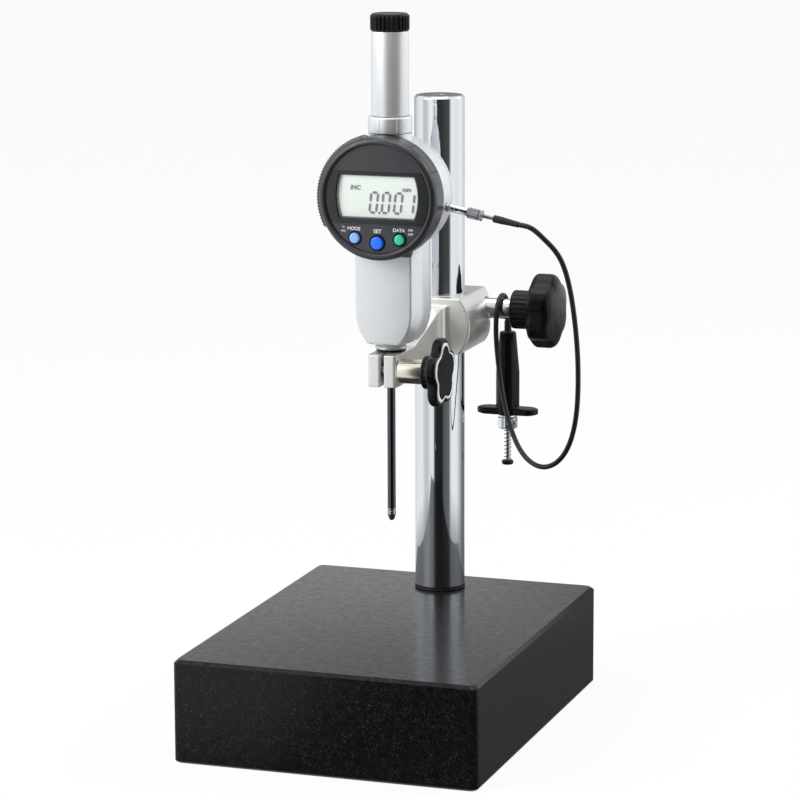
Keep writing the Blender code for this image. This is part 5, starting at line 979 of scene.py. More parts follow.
class STAND_OT_stem_knob(bpy.types.Operator):
    """Small star knob of the split clamp, its glossy insert with a chamfer whose pale colour is
    a painted highlight, and the plated sleeve and screw."""

    bl_idname = "stand.stem_knob"
    bl_label = "Stem clamp knob"

    def execute(self, context):
        low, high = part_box("stem_clamp_knob")
        sleeve_low, sleeve_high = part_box("stem_clamp_sleeve")
        y = (sleeve_low.y + sleeve_high.y) / 2
        z = (sleeve_low.z + sleeve_high.z) / 2
        r = (sleeve_high.z - sleeve_low.z) / 2
        long = sleeve_high.x - sleeve_low.x
        profile = [(0.0, 0.0), (r - 0.5 * MM, 0.0), (r, 0.5 * MM), (r, long), (0.0, long)]
        piece("stem_sleeve", [moved(skin(turned(soften(profile, sizes().edge), 64)), to_right((sleeve_low.x, y, z)))],
              "nickel", "stem_knob", ["stem_clamp_sleeve"])

        hub = 8.1 * MM
        disc = 17.0 * MM
        notch = 4.2 * MM
        front = 10.6 * MM
        inner = 13.9 * MM
        place = to_right((low.x, y, z)) @ Matrix.Rotation(math.radians(180.0), 4, "Z")
        profile = [(0.0, 0.0), (hub - 0.6 * MM, 0.0), (hub, 0.6 * MM), (hub, 4.6 * MM), (hub + 0.6 * MM, 5.0 * MM),
                   (disc - 1.0 * MM, 5.2 * MM), (disc, 6.4 * MM), (disc, front - 1.2 * MM),
                   (disc - 0.7 * MM, front - 0.4 * MM), (inner + 1.2 * MM, front - 0.5 * MM),
                   (inner, front - 1.0 * MM), (0.0, front - 1.0 * MM)]
        line = fill_line(soften(profile, 0.6 * MM, 5), 0.4 * MM)
        share = np.clip((line[:, 0] - hub) / (disc - hub), 0.0, 1.0)
        grid = lobed(turned(line, 300), 5, notch * share)
        grid = flute(grid, 20, 0.25 * MM, 0.8 * MM, 4.4 * MM)
        piece("stem_knob_star", [moved(skin(grid), place)], "black", "stem_knob",
              ["stem_clamp_knob"], sharp=50.0)

        # Chamfer ring round the insert, in the pale finish that paints its highlight
        rim = [(inner + 0.9 * MM, front - 0.8 * MM), (inner + 0.8 * MM, front - 0.15 * MM), (inner, front + 0.15 * MM),
               (inner - 0.6 * MM, front - 0.05 * MM), (inner - 0.6 * MM, front - 0.8 * MM)]
        rim_share = [(p[0] - hub) / (disc - hub) for p in rim]
        ring = lobed(turned(rim, 300), 5, notch * np.array(rim_share))
        plate = [(0.0, front - 0.75 * MM), (inner - 0.65 * MM, front - 0.75 * MM), (inner - 0.65 * MM, front - 0.10 * MM),
                 (inner * 0.55, front - 0.22 * MM), (0.0, front - 0.28 * MM)]
        plate_line = fill_line(plate, 0.6 * MM)
        plate_share = np.clip((plate_line[:, 0] - hub) / (disc - hub), 0.0, 1.0)
        face = lobed(turned(plate_line, 300), 5, notch * plate_share)
        rim_part = moved(skin(ring, along=True), place)
        face_part = moved(skin(face), place)
        piece("stem_knob_insert", [(*rim_part, 1), (*face_part, 0)], ["insert", "rim"], "stem_knob",
              ["stem_clamp_knob_face"])
        coat("steel", "stem_clamp_screw")
        return {"FINISHED"}


class STAND_OT_case(bpy.types.Operator):
    """Indicator case: a drum turned about the display's axis, a tapering lower body with
    chamfered front edges, and the boss under the tube's collar. The spindle's bore runs
    through all three."""

    bl_idname = "stand.case"
    bl_label = "Indicator case"

    def execute(self, context):
        rear = 8.3 * MM
        front = 7.2 * MM
        drum_line = soften([(0.0, -rear), (HOUSING_RADIUS, -rear), (HOUSING_RADIUS, front), (0.0, front)],
                           0.7 * MM, 6)
        line = fill_line(drum_line, 0.4 * MM)
        drum = turned(line, 200)
        drum = groove_drum(drum)
        middle = (0.0, 0.0, DISPLAY_Z)
        parts = [moved(skin(drum), to_front(middle)), self.lower_body(rear), self.boss(rear, front)]
        parts = [bored(part, 5.5 * MM) for part in parts]
        piece("case_shell", parts, "silver", "indicator", ["indicator_case"], sharp=40.0)
        coat("silver", "back_cover")
        coat("steel", "cover_screw_1", "cover_screw_2", "cover_screw_3", "cover_screw_4")
        return {"FINISHED"}

    def lower_body(self, rear):
        """Level sections from the foot up. Half the width follows a circular taper below
        15.8 mm, and each section is a six-sided outline with rounded corners."""
        wide = 16.9 * MM
        foot = 10.5 * MM
        taper = 15.8 * MM
        chamfer_wide = 2.9 * MM
        front = 11.4 * MM
        chamfer_deep = 8.4 * MM
        height = np.concatenate([[0.0, 0.15, 0.5, 1.0], np.linspace(1.8, 15.8, 16), np.linspace(20.0, 62.0, 12)]) * MM
        inset = np.concatenate([[0.9, 0.45, 0.12, 0.0], np.zeros(28)]) * MM
        drop = wide - foot
        radius = (taper ** 2 + drop ** 2) / (2.0 * drop)
        below = np.maximum(0.0, taper - height)
        w = wide - radius + np.sqrt(radius ** 2 - below ** 2) - inset
        f = front - inset
        k = chamfer_deep - front + inset
        b = rear - inset
        corners = np.stack([np.stack([w, b], 1), np.stack([-w, b], 1), np.stack([-w, k], 1),
                            np.stack([chamfer_wide - w, -f], 1), np.stack([w - chamfer_wide, -f], 1),
                            np.stack([w, k], 1)], axis=1)
        before = np.roll(corners, 1, axis=1) - corners
        after = np.roll(corners, -1, axis=1) - corners
        back = np.linalg.norm(before, axis=2, keepdims=True)
        ahead = np.linalg.norm(after, axis=2, keepdims=True)
        size = 0.9 * MM
        t = np.linspace(0.0, 1.0, 6)[None, None, :, None]
        start = (corners + before / back * size)[:, :, None]
        end = (corners + after / ahead * size)[:, :, None]
        arcs = (1 - t) ** 2 * start + 2 * t * (1 - t) * corners[:, :, None] + t ** 2 * end
        section = arcs.reshape(len(height), -1, 2)
        z = np.broadcast_to((CASE_LOW.z + height)[:, None, None], (*section.shape[:2], 1))
        grid = np.concatenate([section, z], axis=2)
        room = BEZEL_RADIUS + 0.3 * MM
        reach = np.hypot(grid[..., 0], grid[..., 2] - DISPLAY_Z)
        behind = -7.2 * MM
        grid[..., 1] = np.where((reach < room) & (grid[..., 1] < behind), behind, grid[..., 1])
        return skin(grid)

    def boss(self, rear, front):
        """A short round boss, cut flat at the front and the rear by holding its Y within
        the case's thickness."""
        top = CASE_HIGH.z
        profile = [(0.0, DISPLAY_Z + 20.0 * MM), (10.6 * MM, DISPLAY_Z + 20.0 * MM), (10.6 * MM, top), (0.0, top)]
        grid = turned(soften(profile, 0.3 * MM), 96)
        grid[..., 1] = np.clip(grid[..., 1], 0.3 * MM - front, rear)
        return skin(grid)


def groove_drum(grid):
    """Three hairline grooves round the drum's upper right, cut across its depth."""
    a = np.degrees(np.arctan2(grid[..., 1], grid[..., 0]))
    radius = np.hypot(grid[..., 0], grid[..., 1])
    cut = sum(np.exp(-((a - at) / 0.8) ** 2) for at in (38.0, 50.0, 61.0))
    outside = radius > HOUSING_RADIUS - 0.4 * MM
    share = np.where(outside, 1.0 - 0.18 * MM * cut / np.maximum(radius, MM), 1.0)
    out = grid.copy()
    out[..., :2] *= share[..., None]
    return out


class STAND_OT_cover_tube(bpy.types.Operator):
    """Collar, cover tube and ribbed cap over the spindle's travel, each a turned profile."""

    bl_idname = "stand.cover_tube"
    bl_label = "Cover tube"

    def execute(self, context):
        low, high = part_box("tube_collar")
        seat = low.z + 5.0 * MM
        r = (high.x - low.x) / 2
        line = [(5.5 * MM, low.z), (6.4 * MM, low.z), (6.4 * MM, seat), (r, seat), (r, high.z - 0.7 * MM),
                (r - 0.5 * MM, high.z), (5.5 * MM, high.z)]
        grid = turned(soften(line, sizes().edge, closed=True), 192)
        a = np.degrees(np.arctan2(grid[..., 1], grid[..., 0]))
        slit = sum(np.exp(-((a - at) / 1.6) ** 2) for at in (-100.0, -52.0))
        on_wall = (np.hypot(grid[..., 0], grid[..., 1]) > r - 0.6 * MM)
        grid[..., :2] *= (1.0 - 0.020 * slit * on_wall)[..., None]
        piece("tube_collar_ring", [skin(grid, along=True)], "silver", "indicator", ["tube_collar"])

        low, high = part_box("cover_tube")
        r = (high.x - low.x) / 2
        line = [(7.0 * MM, low.z), (r, low.z), (r, high.z), (7.0 * MM, high.z)]
        piece("travel_tube", [skin(turned(soften(line, sizes().edge, closed=True), 128), along=True)], "silver",
              "indicator", ["cover_tube"])

        low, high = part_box("tube_cap")
        seat = high.z - 8.0 * MM
        r = (high.x - low.x) / 2
        line = [(0.0, low.z), (6.7 * MM, low.z), (6.7 * MM, seat), (r - 0.4 * MM, seat), (r, seat + 0.4 * MM),
                (r, high.z - 1.2 * MM), (r - 1.0 * MM, high.z), (0.0, high.z)]
        grid = turned(fill_line(soften(line, 0.3 * MM), 0.4 * MM), 336)
        grid = flute(grid, sizes().cap_ribs, sizes().cap_rib_depth, seat + 0.1 * MM, high.z - 0.6 * MM)
        piece("ribbed_cap", [skin(grid)], "black", "indicator", ["tube_cap"])
        return {"FINISHED"}


class STAND_OT_stem(bpy.types.Operator):
    """Stem with its collar, the thin black ring under it that paints the shadow in the gap above the clamp's jaws, the
    spindle and the contact point.
    """

    bl_idname = "stand.stem"
    bl_label = "Stem and spindle"

    def execute(self, context):
        low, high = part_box("stem")
        ring_low, ring_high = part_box("stem_ring")
        seat = ring_high.z + 0.3 * MM
        top = high.z - 3.0 * MM
        line = [(2.3 * MM, low.z), (3.5 * MM, low.z), (4.0 * MM, low.z + 0.5 * MM), (4.0 * MM, seat),
                (7.65 * MM, seat), (7.65 * MM, seat + 1.0 * MM), (6.0 * MM, top), (5.0 * MM, top),
                (5.0 * MM, high.z), (2.3 * MM, high.z)]
        piece("stem_shank", [skin(turned(soften(line, 0.15 * MM, closed=True), 96), along=True)], "satin",
              "indicator", ["stem"])
        # Thin black ring under the collar: a painted shadow, standing for the shaded gap between the collar and the
        # clamp's jaws
        r = (ring_high.x - ring_low.x) / 2
        line = [(4.3 * MM, ring_low.z), (r, ring_low.z), (r, ring_high.z), (4.3 * MM, ring_high.z)]
        piece("stem_painted_shadow_ring", [skin(turned(soften(line, 0.15 * MM, closed=True), 96), along=True)], "black",
              "indicator", ["stem_ring"])
        low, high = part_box("spindle")
        line = [(0.0, low.z), (2.0 * MM, low.z), (2.0 * MM, high.z), (0.0, high.z)]
        piece("spindle_rod", [skin(turned(soften(line, 0.12 * MM), 64))], "hardened", "spindle_group",
              ["spindle"])
        low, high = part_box("contact_point")
        seat = low.z + 6.2 * MM
        ball = 1.5 * MM
        turn = np.radians(np.linspace(0.0, 75.0, 8))
        tip = np.stack([ball * np.sin(turn), low.z + ball - ball * np.cos(turn)], axis=1)
        line = np.concatenate([tip, [(1.9 * MM, low.z + 2.6 * MM), (2.1 * MM, low.z + 3.1 * MM),
                                     (2.1 * MM, low.z + 4.6 * MM), (1.7 * MM, low.z + 4.9 * MM),
                                     (1.7 * MM, low.z + 5.2 * MM), (2.1 * MM, low.z + 5.5 * MM),
                                     (2.1 * MM, seat), (1.0 * MM, seat), (1.0 * MM, high.z), (0.0, high.z)]])
        piece("contact_tip", [skin(turned(soften(line, 0.1 * MM), 48))], "steel", "spindle_group",
              ["contact_point"])
        return {"FINISHED"}


def bezel_relief(grid):
    """Raises the grip pad with its ribs, cuts the hatch's pocket and the groove behind the
    face's rim, and raises four small ribs, all as changes of the rim's radius."""
    a = np.degrees(np.arctan2(grid[..., 1], grid[..., 0])) % 360.0
    z = grid[..., 2]
    radius = np.hypot(grid[..., 0], grid[..., 1])
    wall = radius > BEZEL_RADIUS - 0.15 * MM
    pad = np.clip((a - 104.0) / 1.2, 0.0, 1.0) * np.clip((209.0 - a) / 0.8, 0.0, 1.0)
    pad = pad * np.clip((z - 11.0 * MM) / (0.4 * MM), 0.0, 1.0) * np.clip((18.9 * MM - z) / (0.4 * MM), 0.0, 1.0)
    ribs = 2.0 * math.pi * BEZEL_RADIUS / sizes().grip_rib_spacing
    rib = 0.5 + 0.5 * np.cos(np.round(ribs) * np.radians(a))
    lift = pad * (0.80 * MM + 0.55 * MM * rib)
    small = sum(np.exp(-((a - at) / 0.55) ** 2) for at in (13.0, 15.6, 18.2, 20.8))
    small = small * np.clip((z - 11.5 * MM) / (0.3 * MM), 0.0, 1.0) * np.clip((17.0 * MM - z) / (0.3 * MM), 0.0, 1.0)
    hatch_low, hatch_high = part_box("battery_hatch")
    near = -hatch_high.y - 0.35 * MM
    far = -hatch_low.y + 0.35 * MM
    pocket = ((a > 26.0) & (a < 58.0) & (z > near) & (z < far)).astype(float)
    line = np.exp(-((z - 18.0 * MM) / (0.22 * MM)) ** 2)
    change = np.where(wall, lift + 0.30 * MM * small - 1.25 * MM * pocket - 0.22 * MM * line * (pad < 0.1), 0.0)
    out = grid.copy()
    out[..., :2] *= ((radius + change) / radius)[..., None]
    return out


def ray_to_circle(turn, middle, centre, radius):
    """How far a ray from a middle point goes to a circle: the positive root of its
    quadratic."""
    dx, dy = np.cos(turn), np.sin(turn)
    ox = middle[0] - centre[0]
    oy = middle[1] - centre[1]
    along = ox * dx + oy * dy
    return -along + np.sqrt(along ** 2 - (ox ** 2 + oy ** 2 - radius ** 2))


def window_reach(turn, margin):
    """The window's outline by rays from its middle: the nearest of its level top and foot
    and its bulging ends."""
    half = WINDOW_HEIGHT / 2 + margin
    end = WINDOW_WIDTH / 2 + margin
    radius = (half ** 2 + WINDOW_BULGE ** 2) / (2.0 * WINDOW_BULGE)
    level = half / np.maximum(np.abs(np.sin(turn)), 1e-6)
    centre_x = np.where(np.cos(turn) >= 0.0, end - radius, radius - end)
    dx, dy = np.cos(turn), np.sin(turn)
    along = -centre_x * dx
    side = -along + np.sqrt(along ** 2 - (centre_x ** 2 - radius ** 2))
    return np.minimum(level, side)


def surround_reach(turn, top, foot, radius):
    """The darker zone's outline by rays from the window's middle: level lines above and
    below, and the face's circle at the sides."""
    up = (top - WINDOW_RISE) / np.maximum(np.sin(turn), 1e-6)
    down = (foot + WINDOW_RISE) / np.maximum(-np.sin(turn), 1e-6)
    side = ray_to_circle(turn, (0.0, WINDOW_RISE), (0.0, 0.0), radius)
    return np.minimum(np.minimum(up, down), side)


class STAND_OT_display(bpy.types.Operator):
    """Display's rim with its grip ribs, the face with its darker zone and two ridges, the
    window, and the battery hatch."""

    bl_idname = "stand.display"
    bl_label = "Display"

    def execute(self, context):
        place = to_front((0.0, 0.0, DISPLAY_Z))
        rear = BEZEL_REAR
        front = BEZEL_FRONT
        r = BEZEL_RADIUS
        profile = [(27.2 * MM, rear), (r - 0.5 * MM, rear), (r, rear + 0.5 * MM), (r, front - 2.4 * MM),
                   (r - 0.5 * MM, front - 1.2 * MM), (r - 1.4 * MM, front - 0.3 * MM), (r - 2.3 * MM, front),
                   (26.6 * MM, front - 0.1 * MM), (26.1 * MM, front - 0.6 * MM), (25.8 * MM, front - 1.4 * MM),
                   (27.2 * MM, front - 1.4 * MM)]
        line = fill_line(soften(profile, 0.35 * MM, 5, closed=True), 0.22 * MM)
        grid = bezel_relief(turned(line, 720))
        piece("display_rim", [moved(skin(grid, along=True), place)], "charcoal", "display",
              ["bezel"], sharp=42.0)
        coat("charcoal", "battery_hatch", "face_plate", "bezel_back")
        coat("clear", "window")

        turn = np.linspace(0.0, 2.0 * math.pi, 720, endpoint=False)
        low = FACE_TOP + 0.02 * MM
        high = FACE_TOP + 0.28 * MM
        rows = [(window_reach(turn, -0.10 * MM), low), (window_reach(turn, -0.10 * MM), high - 0.22 * MM),
                (window_reach(turn, 0.30 * MM), high), (surround_reach(turn, 12.7 * MM, 11.7 * MM, 25.4 * MM), high),
                (surround_reach(turn, 12.8 * MM, 11.8 * MM, 25.5 * MM), high - 0.1 * MM),
                (surround_reach(turn, 12.8 * MM, 11.8 * MM, 25.5 * MM), low)]
        ring = np.stack([np.stack([reach * np.cos(turn), WINDOW_RISE + reach * np.sin(turn),
                                   np.full_like(turn, z)], axis=1) for reach, z in rows])
        piece("display_surround", [moved(skin(ring, along=True), place)], "surround", "display",
              sharp=20.0)
        ridges = []
        for height in (13.15 * MM, -12.15 * MM):
            half = math.sqrt((25.4 * MM) ** 2 - height ** 2)
            x = np.linspace(-half, half, 60)
            u = np.linspace(0.0, 2.0 * math.pi, 16, endpoint=False)
            thick = np.sqrt(np.clip(1.0 - (x / half) ** 12, 0.02, 1.0))
            bar = np.stack([np.repeat(x[:, None], 16, axis=1), height + 0.28 * MM * thick[:, None] * np.cos(u),
                            FACE_TOP + 0.36 * MM * thick[:, None] * np.sin(u)], axis=-1)
            ridges.append(moved(skin(bar), place))
        piece("face_ridges", ridges, "charcoal", "display")
        return {"FINISHED"}


SEGMENTS = {"a": ((0, 2), (1, 2)), "b": ((1, 2), (1, 1)), "c": ((1, 1), (1, 0)), "d": ((0, 0), (1, 0)),
            "e": ((0, 1), (0, 0)), "f": ((0, 2), (0, 1)), "g": ((0, 1), (1, 1))}
FIGURES = {"0": "abcdef", "1": "bc"}


def segment_bars(figure, centre, height, wide, stroke):
    """One slanted seven-segment figure. Each bar is a hexagon along its segment."""
    bars = []
    for key in FIGURES[figure]:
        ends = np.array(SEGMENTS[key], float) * (wide, height / 2.0) - (wide / 2.0, height / 2.0)
        ahead = (ends[1] - ends[0]) / np.linalg.norm(ends[1] - ends[0])
        side = np.array((-ahead[1], ahead[0]))
        gap = stroke * 0.28
        a = ends[0] + ahead * gap
        b = ends[1] - ahead * gap
        half = stroke / 2.0
        hexagon = np.array([a, a + (ahead + side) * half, b + (side - ahead) * half, b,
                            b - (side + ahead) * half, a + (ahead - side) * half])
        hexagon[:, 0] += hexagon[:, 1] * math.tan(math.radians(7.0))
        bars.append(hexagon + centre)
    return bars


class STAND_OT_readout(bpy.types.Operator):
    """Liquid crystal panel with its figures: seven-segment bars, their soft shade on the
    panel's back, and two small words."""

    bl_idname = "stand.readout"
    bl_label = "Readout"

    def execute(self, context):
        coat("lcd", "lcd_panel")
        coat("board", "display_board")
        coat("steel", "battery", "hub_clip")
        place = to_front((0.0, 0.0, DISPLAY_Z))
        tall = sizes().digit_height
        wide = 3.4 * MM
        stroke = 1.12 * MM
        middle_y = -1.8 * MM
        outlines = []
        for figure, x in zip("0001", (-2.2, 3.9, 10.0, 16.0)):
            outlines += segment_bars(figure, np.array((x * MM, middle_y)), tall - stroke, wide, stroke)
        dot = np.array([(-0.5, -0.5), (0.5, -0.5), (0.5, 0.5), (-0.5, 0.5)]) * MM + (0.55 * MM, middle_y - tall / 2 + 0.5 * MM)
        outlines.append(dot)
        ink = [(*moved(flat_shape(o, LCD_TOP + 0.06 * MM, LCD_TOP + 0.09 * MM), place), 0) for o in outlines]
        drift = np.array((0.30 * MM, -0.34 * MM))
        ink += [(*moved(flat_shape(o + drift, LCD_TOP + 0.01 * MM, LCD_TOP + 0.03 * MM), place), 1) for o in outlines]
        for text, x, y in (("INC", -11.4, 4.9), ("mm", 14.3, 4.8)):
            word = lettering(text, 2.9 * MM, (x * MM, y * MM, LCD_TOP + 0.07 * MM), 0.02 * MM, 0.15, 0.13 * MM)
            ink.append((*moved(word, place), 0))
        piece("lcd_figures", ink, ["digits", "shade"], "display")
        return {"FINISHED"}


class STAND_OT_buttons(bpy.types.Operator):
    """Three push buttons with softly domed tops, their dark recess rings and the labels."""

    bl_idname = "stand.buttons"
    bl_label = "Buttons"

    def execute(self, context):
        place = to_front((0.0, 0.0, DISPLAY_Z))
        rings = []
        rows = (("button_mode", "mode_button", "left_button", "pale_blue_plastic"),
                ("button_set", "set_button", "middle_button", "blue_plastic"),
                ("button_data", "data_button", "right_button", "green_plastic"))
        for node, body, key, slot in rows:
            low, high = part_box(node)
            x = (low.x + high.x) / 2
            y = (low.z + high.z) / 2 - DISPLAY_Z
            flange = (high.x - low.x) / 2
            r = flange - 0.6 * MM
            back = -high.y
            top = -low.y
            step = back + 0.5 * MM
            line = [(0.0, back), (flange, back), (flange, step), (r, step), (r, top - 0.55 * MM),
                    (r - 0.35 * MM, top - 0.12 * MM), (r * 0.55, top + 0.05 * MM), (0.0, top + 0.10 * MM)]
            grid = turned(fill_line(soften(line, 0.25 * MM, 5), 0.3 * MM), 72)
            at = place @ Matrix.Translation((x, y, 0.0))
            piece(node + "_cap", [moved(skin(grid), at)], key, body, [node], sharp=50.0)
            inner = r + 0.30 * MM
            ring = [(inner, FACE_TOP - 0.10 * MM), (inner, FACE_TOP + 0.12 * MM), (inner + 0.25 * MM, FACE_TOP + 0.22 * MM),
                    (inner + 0.62 * MM, FACE_TOP + 0.16 * MM), (inner + 0.75 * MM, FACE_TOP - 0.10 * MM)]
            rings.append(moved(skin(turned(soften(ring, 0.1 * MM, closed=True), 72), along=True), at))
        piece("button_rings", rings, "black", "display")
        words = [("MODE", 2.3, -11.7, -14.5), ("SET", 2.55, 0.1, -15.4), ("DATA", 2.25, 10.8, -14.5),
                 ("in", 1.5, -16.9, -13.8), ("mm", 1.5, -17.0, -15.6), ("ON", 1.5, 16.6, -14.2),
                 ("OFF", 1.5, 16.7, -16.2)]
        ink = [moved(lettering(text, size * MM, (x * MM, y * MM, FACE_TOP + 0.03 * MM), 0.03 * MM,
                                bolder=0.022 * size * MM), place) for text, size, x, y in words]
        piece("button_labels", ink, "label", "display")
        return {"FINISHED"}


class STAND_OT_release_fitting(bpy.types.Operator):
    """Release fitting on the case: port, barrel, fluted nut, thin neck and boot, each a
    profile turned about the fitting's tilted axis."""

    bl_idname = "stand.release_fitting"
    bl_label = "Release fitting"

    def execute(self, context):
        place = along_release(0.0)
        start = 1.8 * MM
        barrel_end = start + 8.7 * MM
        barrel = [(0.0, start), (1.95 * MM, start), (1.95 * MM, start + 1.6 * MM), (1.65 * MM, start + 1.9 * MM),
                  (1.65 * MM, start + 2.5 * MM), (1.95 * MM, start + 2.8 * MM), (1.95 * MM, barrel_end), (0.0, barrel_end)]
        piece("fitting_barrel", [moved(skin(turned(soften(barrel, 0.15 * MM), 48)), place)], "chrome",
              "indicator", ["release_barrel"])
        low = barrel_end + 0.3 * MM
        high = low + 7.6 * MM
        nut = [(0.0, low), (2.3 * MM, low), (2.75 * MM, low + 0.5 * MM), (2.75 * MM, high - 1.9 * MM),
               (2.35 * MM, high - 1.7 * MM), (2.35 * MM, high - 1.2 * MM), (2.75 * MM, high - 1.0 * MM),
               (2.75 * MM, high - 0.4 * MM), (2.3 * MM, high), (0.0, high)]
        grid = turned(fill_line(soften(nut, 0.12 * MM), 0.3 * MM), 216)
        grid = flute(grid, sizes().knurl_ribs, 0.34 * MM, low + 0.4 * MM, high - 0.3 * MM)
        piece("fitting_nut", [moved(skin(grid), place)], "steel", "indicator", ["release_nut"])
        low = high + 0.3 * MM
        high = low + 4.8 * MM
        neck = [(0.0, low), (0.9 * MM, low), (0.9 * MM, high), (0.0, high)]
        grid = turned(fill_line(neck, 0.1 * MM), 24)
        ripple = 1.0 + 0.07 * np.cos(grid[..., 2] / (0.5 * MM) * 2.0 * math.pi)
        grid[..., :2] *= ripple[..., None]
        piece("fitting_neck", [moved(skin(grid), place)], "steel", "indicator", ["release_neck"])
        low = BOOT_START
        high = low + BOOT_LENGTH
        boot = [(0.0, low), (1.55 * MM, low), (1.85 * MM, low + 0.4 * MM), (1.85 * MM, low + 4.3 * MM),
                (1.60 * MM, low + 8.0 * MM), (1.45 * MM, high - 0.2 * MM), (1.2 * MM, high), (0.0, high)]
        grid = turned(fill_line(soften(boot, 0.2 * MM), 0.25 * MM), 48)
        grooves = 1.0 - 0.06 * (0.5 + 0.5 * np.cos((grid[..., 2] - low) / (1.3 * MM) * 2.0 * math.pi))
        grid[..., :2] *= grooves[..., None]
        piece("fitting_boot", [moved(skin(grid), place)], "rubber", "indicator", ["release_boot"])
        coat("steel", "release_port")
        return {"FINISHED"}


class STAND_OT_release_handle(bpy.types.Operator):
    """Release handle: moulded barrel with finger wings, its boot, the plated neck with its
    lock screw, the plunger with its button and the spring."""

    bl_idname = "stand.release_handle"
    bl_label = "Release handle"

    def execute(self, context):
        softened_copy("handle_moulding", "release_handle", 0.28 * MM, 4, "black", "arm")
        place = standing(HANDLE_X, HANDLE_Y)
        low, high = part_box("handle_boot")
        boot = [(0.0, low.z), (1.85 * MM, low.z), (1.85 * MM, high.z - 1.4 * MM), (1.5 * MM, high.z), (0.0, high.z)]
        grid = turned(fill_line(soften(boot, 0.2 * MM), 0.25 * MM), 48)
        grooves = 1.0 - 0.06 * (0.5 + 0.5 * np.cos((grid[..., 2] - low.z) / (1.2 * MM) * 2.0 * math.pi))
        grid[..., :2] *= grooves[..., None]
        piece("handle_sleeve", [moved(skin(grid), place)], "rubber", "arm", ["handle_boot"])
        low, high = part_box("handle_neck")
        neck = [(2.6 * MM, low.z), (4.5 * MM, low.z), (5.0 * MM, low.z + 0.5 * MM), (5.0 * MM, high.z - 1.3 * MM),
                (4.6 * MM, high.z - 1.0 * MM), (4.6 * MM, high.z), (2.6 * MM, high.z)]
        piece("neck_ring", [moved(skin(turned(soften(neck, 0.2 * MM, closed=True), 72), along=True), place)],
              "chrome", "arm", ["handle_neck"])
        middle = (low.z + high.z) / 2
        screw_at = (Matrix.Translation((HANDLE_X, HANDLE_Y, middle)) @ Matrix.Rotation(math.radians(35.0), 4, "Z")
                    @ Matrix.Rotation(math.radians(90.0), 4, "X"))
        screw = [(0.0, 3.2 * MM), (2.0 * MM, 3.2 * MM), (2.0 * MM, 5.3 * MM), (2.4 * MM, 5.3 * MM), (2.4 * MM, 8.3 * MM),
                 (1.9 * MM, 8.9 * MM), (1.0 * MM, 8.9 * MM), (1.0 * MM, 7.7 * MM), (0.0, 7.7 * MM)]
        grid = turned(fill_line(soften(screw, 0.15 * MM), 0.3 * MM), 144)
        grid = flute(grid, 16, 0.22 * MM, 5.4 * MM, 8.6 * MM)
        piece("lock_screw_head", [moved(skin(grid), screw_at)], "chrome", "lock", ["lock_screw"])
        low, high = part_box("plunger_rod")
        rod = [(0.0, low.z), (0.8 * MM, low.z), (0.8 * MM, high.z), (0.0, high.z)]
        piece("plunger_wire", [moved(skin(turned(soften(rod, 0.1 * MM), 24)), place)], "steel", "plunger",
              ["plunger_rod"])
        low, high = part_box("thumb_button")
        r = (high.x - low.x) / 2
        button = [(0.0, low.z - 0.15 * MM), (r * 0.6, low.z - 0.08 * MM), (r - 0.4 * MM, low.z + 0.1 * MM), (r, low.z + 0.7 * MM),
                  (r, high.z - 0.4 * MM), (r - 0.4 * MM, high.z), (0.0, high.z)]
        piece("thumb_pad", [moved(skin(turned(soften(button, 0.2 * MM), 64)), place)], "black", "plunger",
              ["thumb_button"])
        low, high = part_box("plunger_spring")
        wound = coil(1.6 * MM, 0.3 * MM, low.z + 0.3 * MM, high.z - 0.3 * MM, 8)
        spring = piece("plunger_coil", [moved(skin(wound), place)], "steel", "arm", ["plunger_spring"])
        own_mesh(spring)
        return {"FINISHED"}


class STAND_OT_inside(bpy.types.Operator):
    """Finishes of the pieces inside the case."""

    bl_idname = "stand.inside"
    bl_label = "Inside pieces"

    def execute(self, context):
        coat("board", "encoder_board")
        coat("black", "reading_head")
        coat("steel", "return_spring", "lever_pin", "lift_lever", "lift_collar")
        coat("clear", "scale_strip")
        return {"FINISHED"}


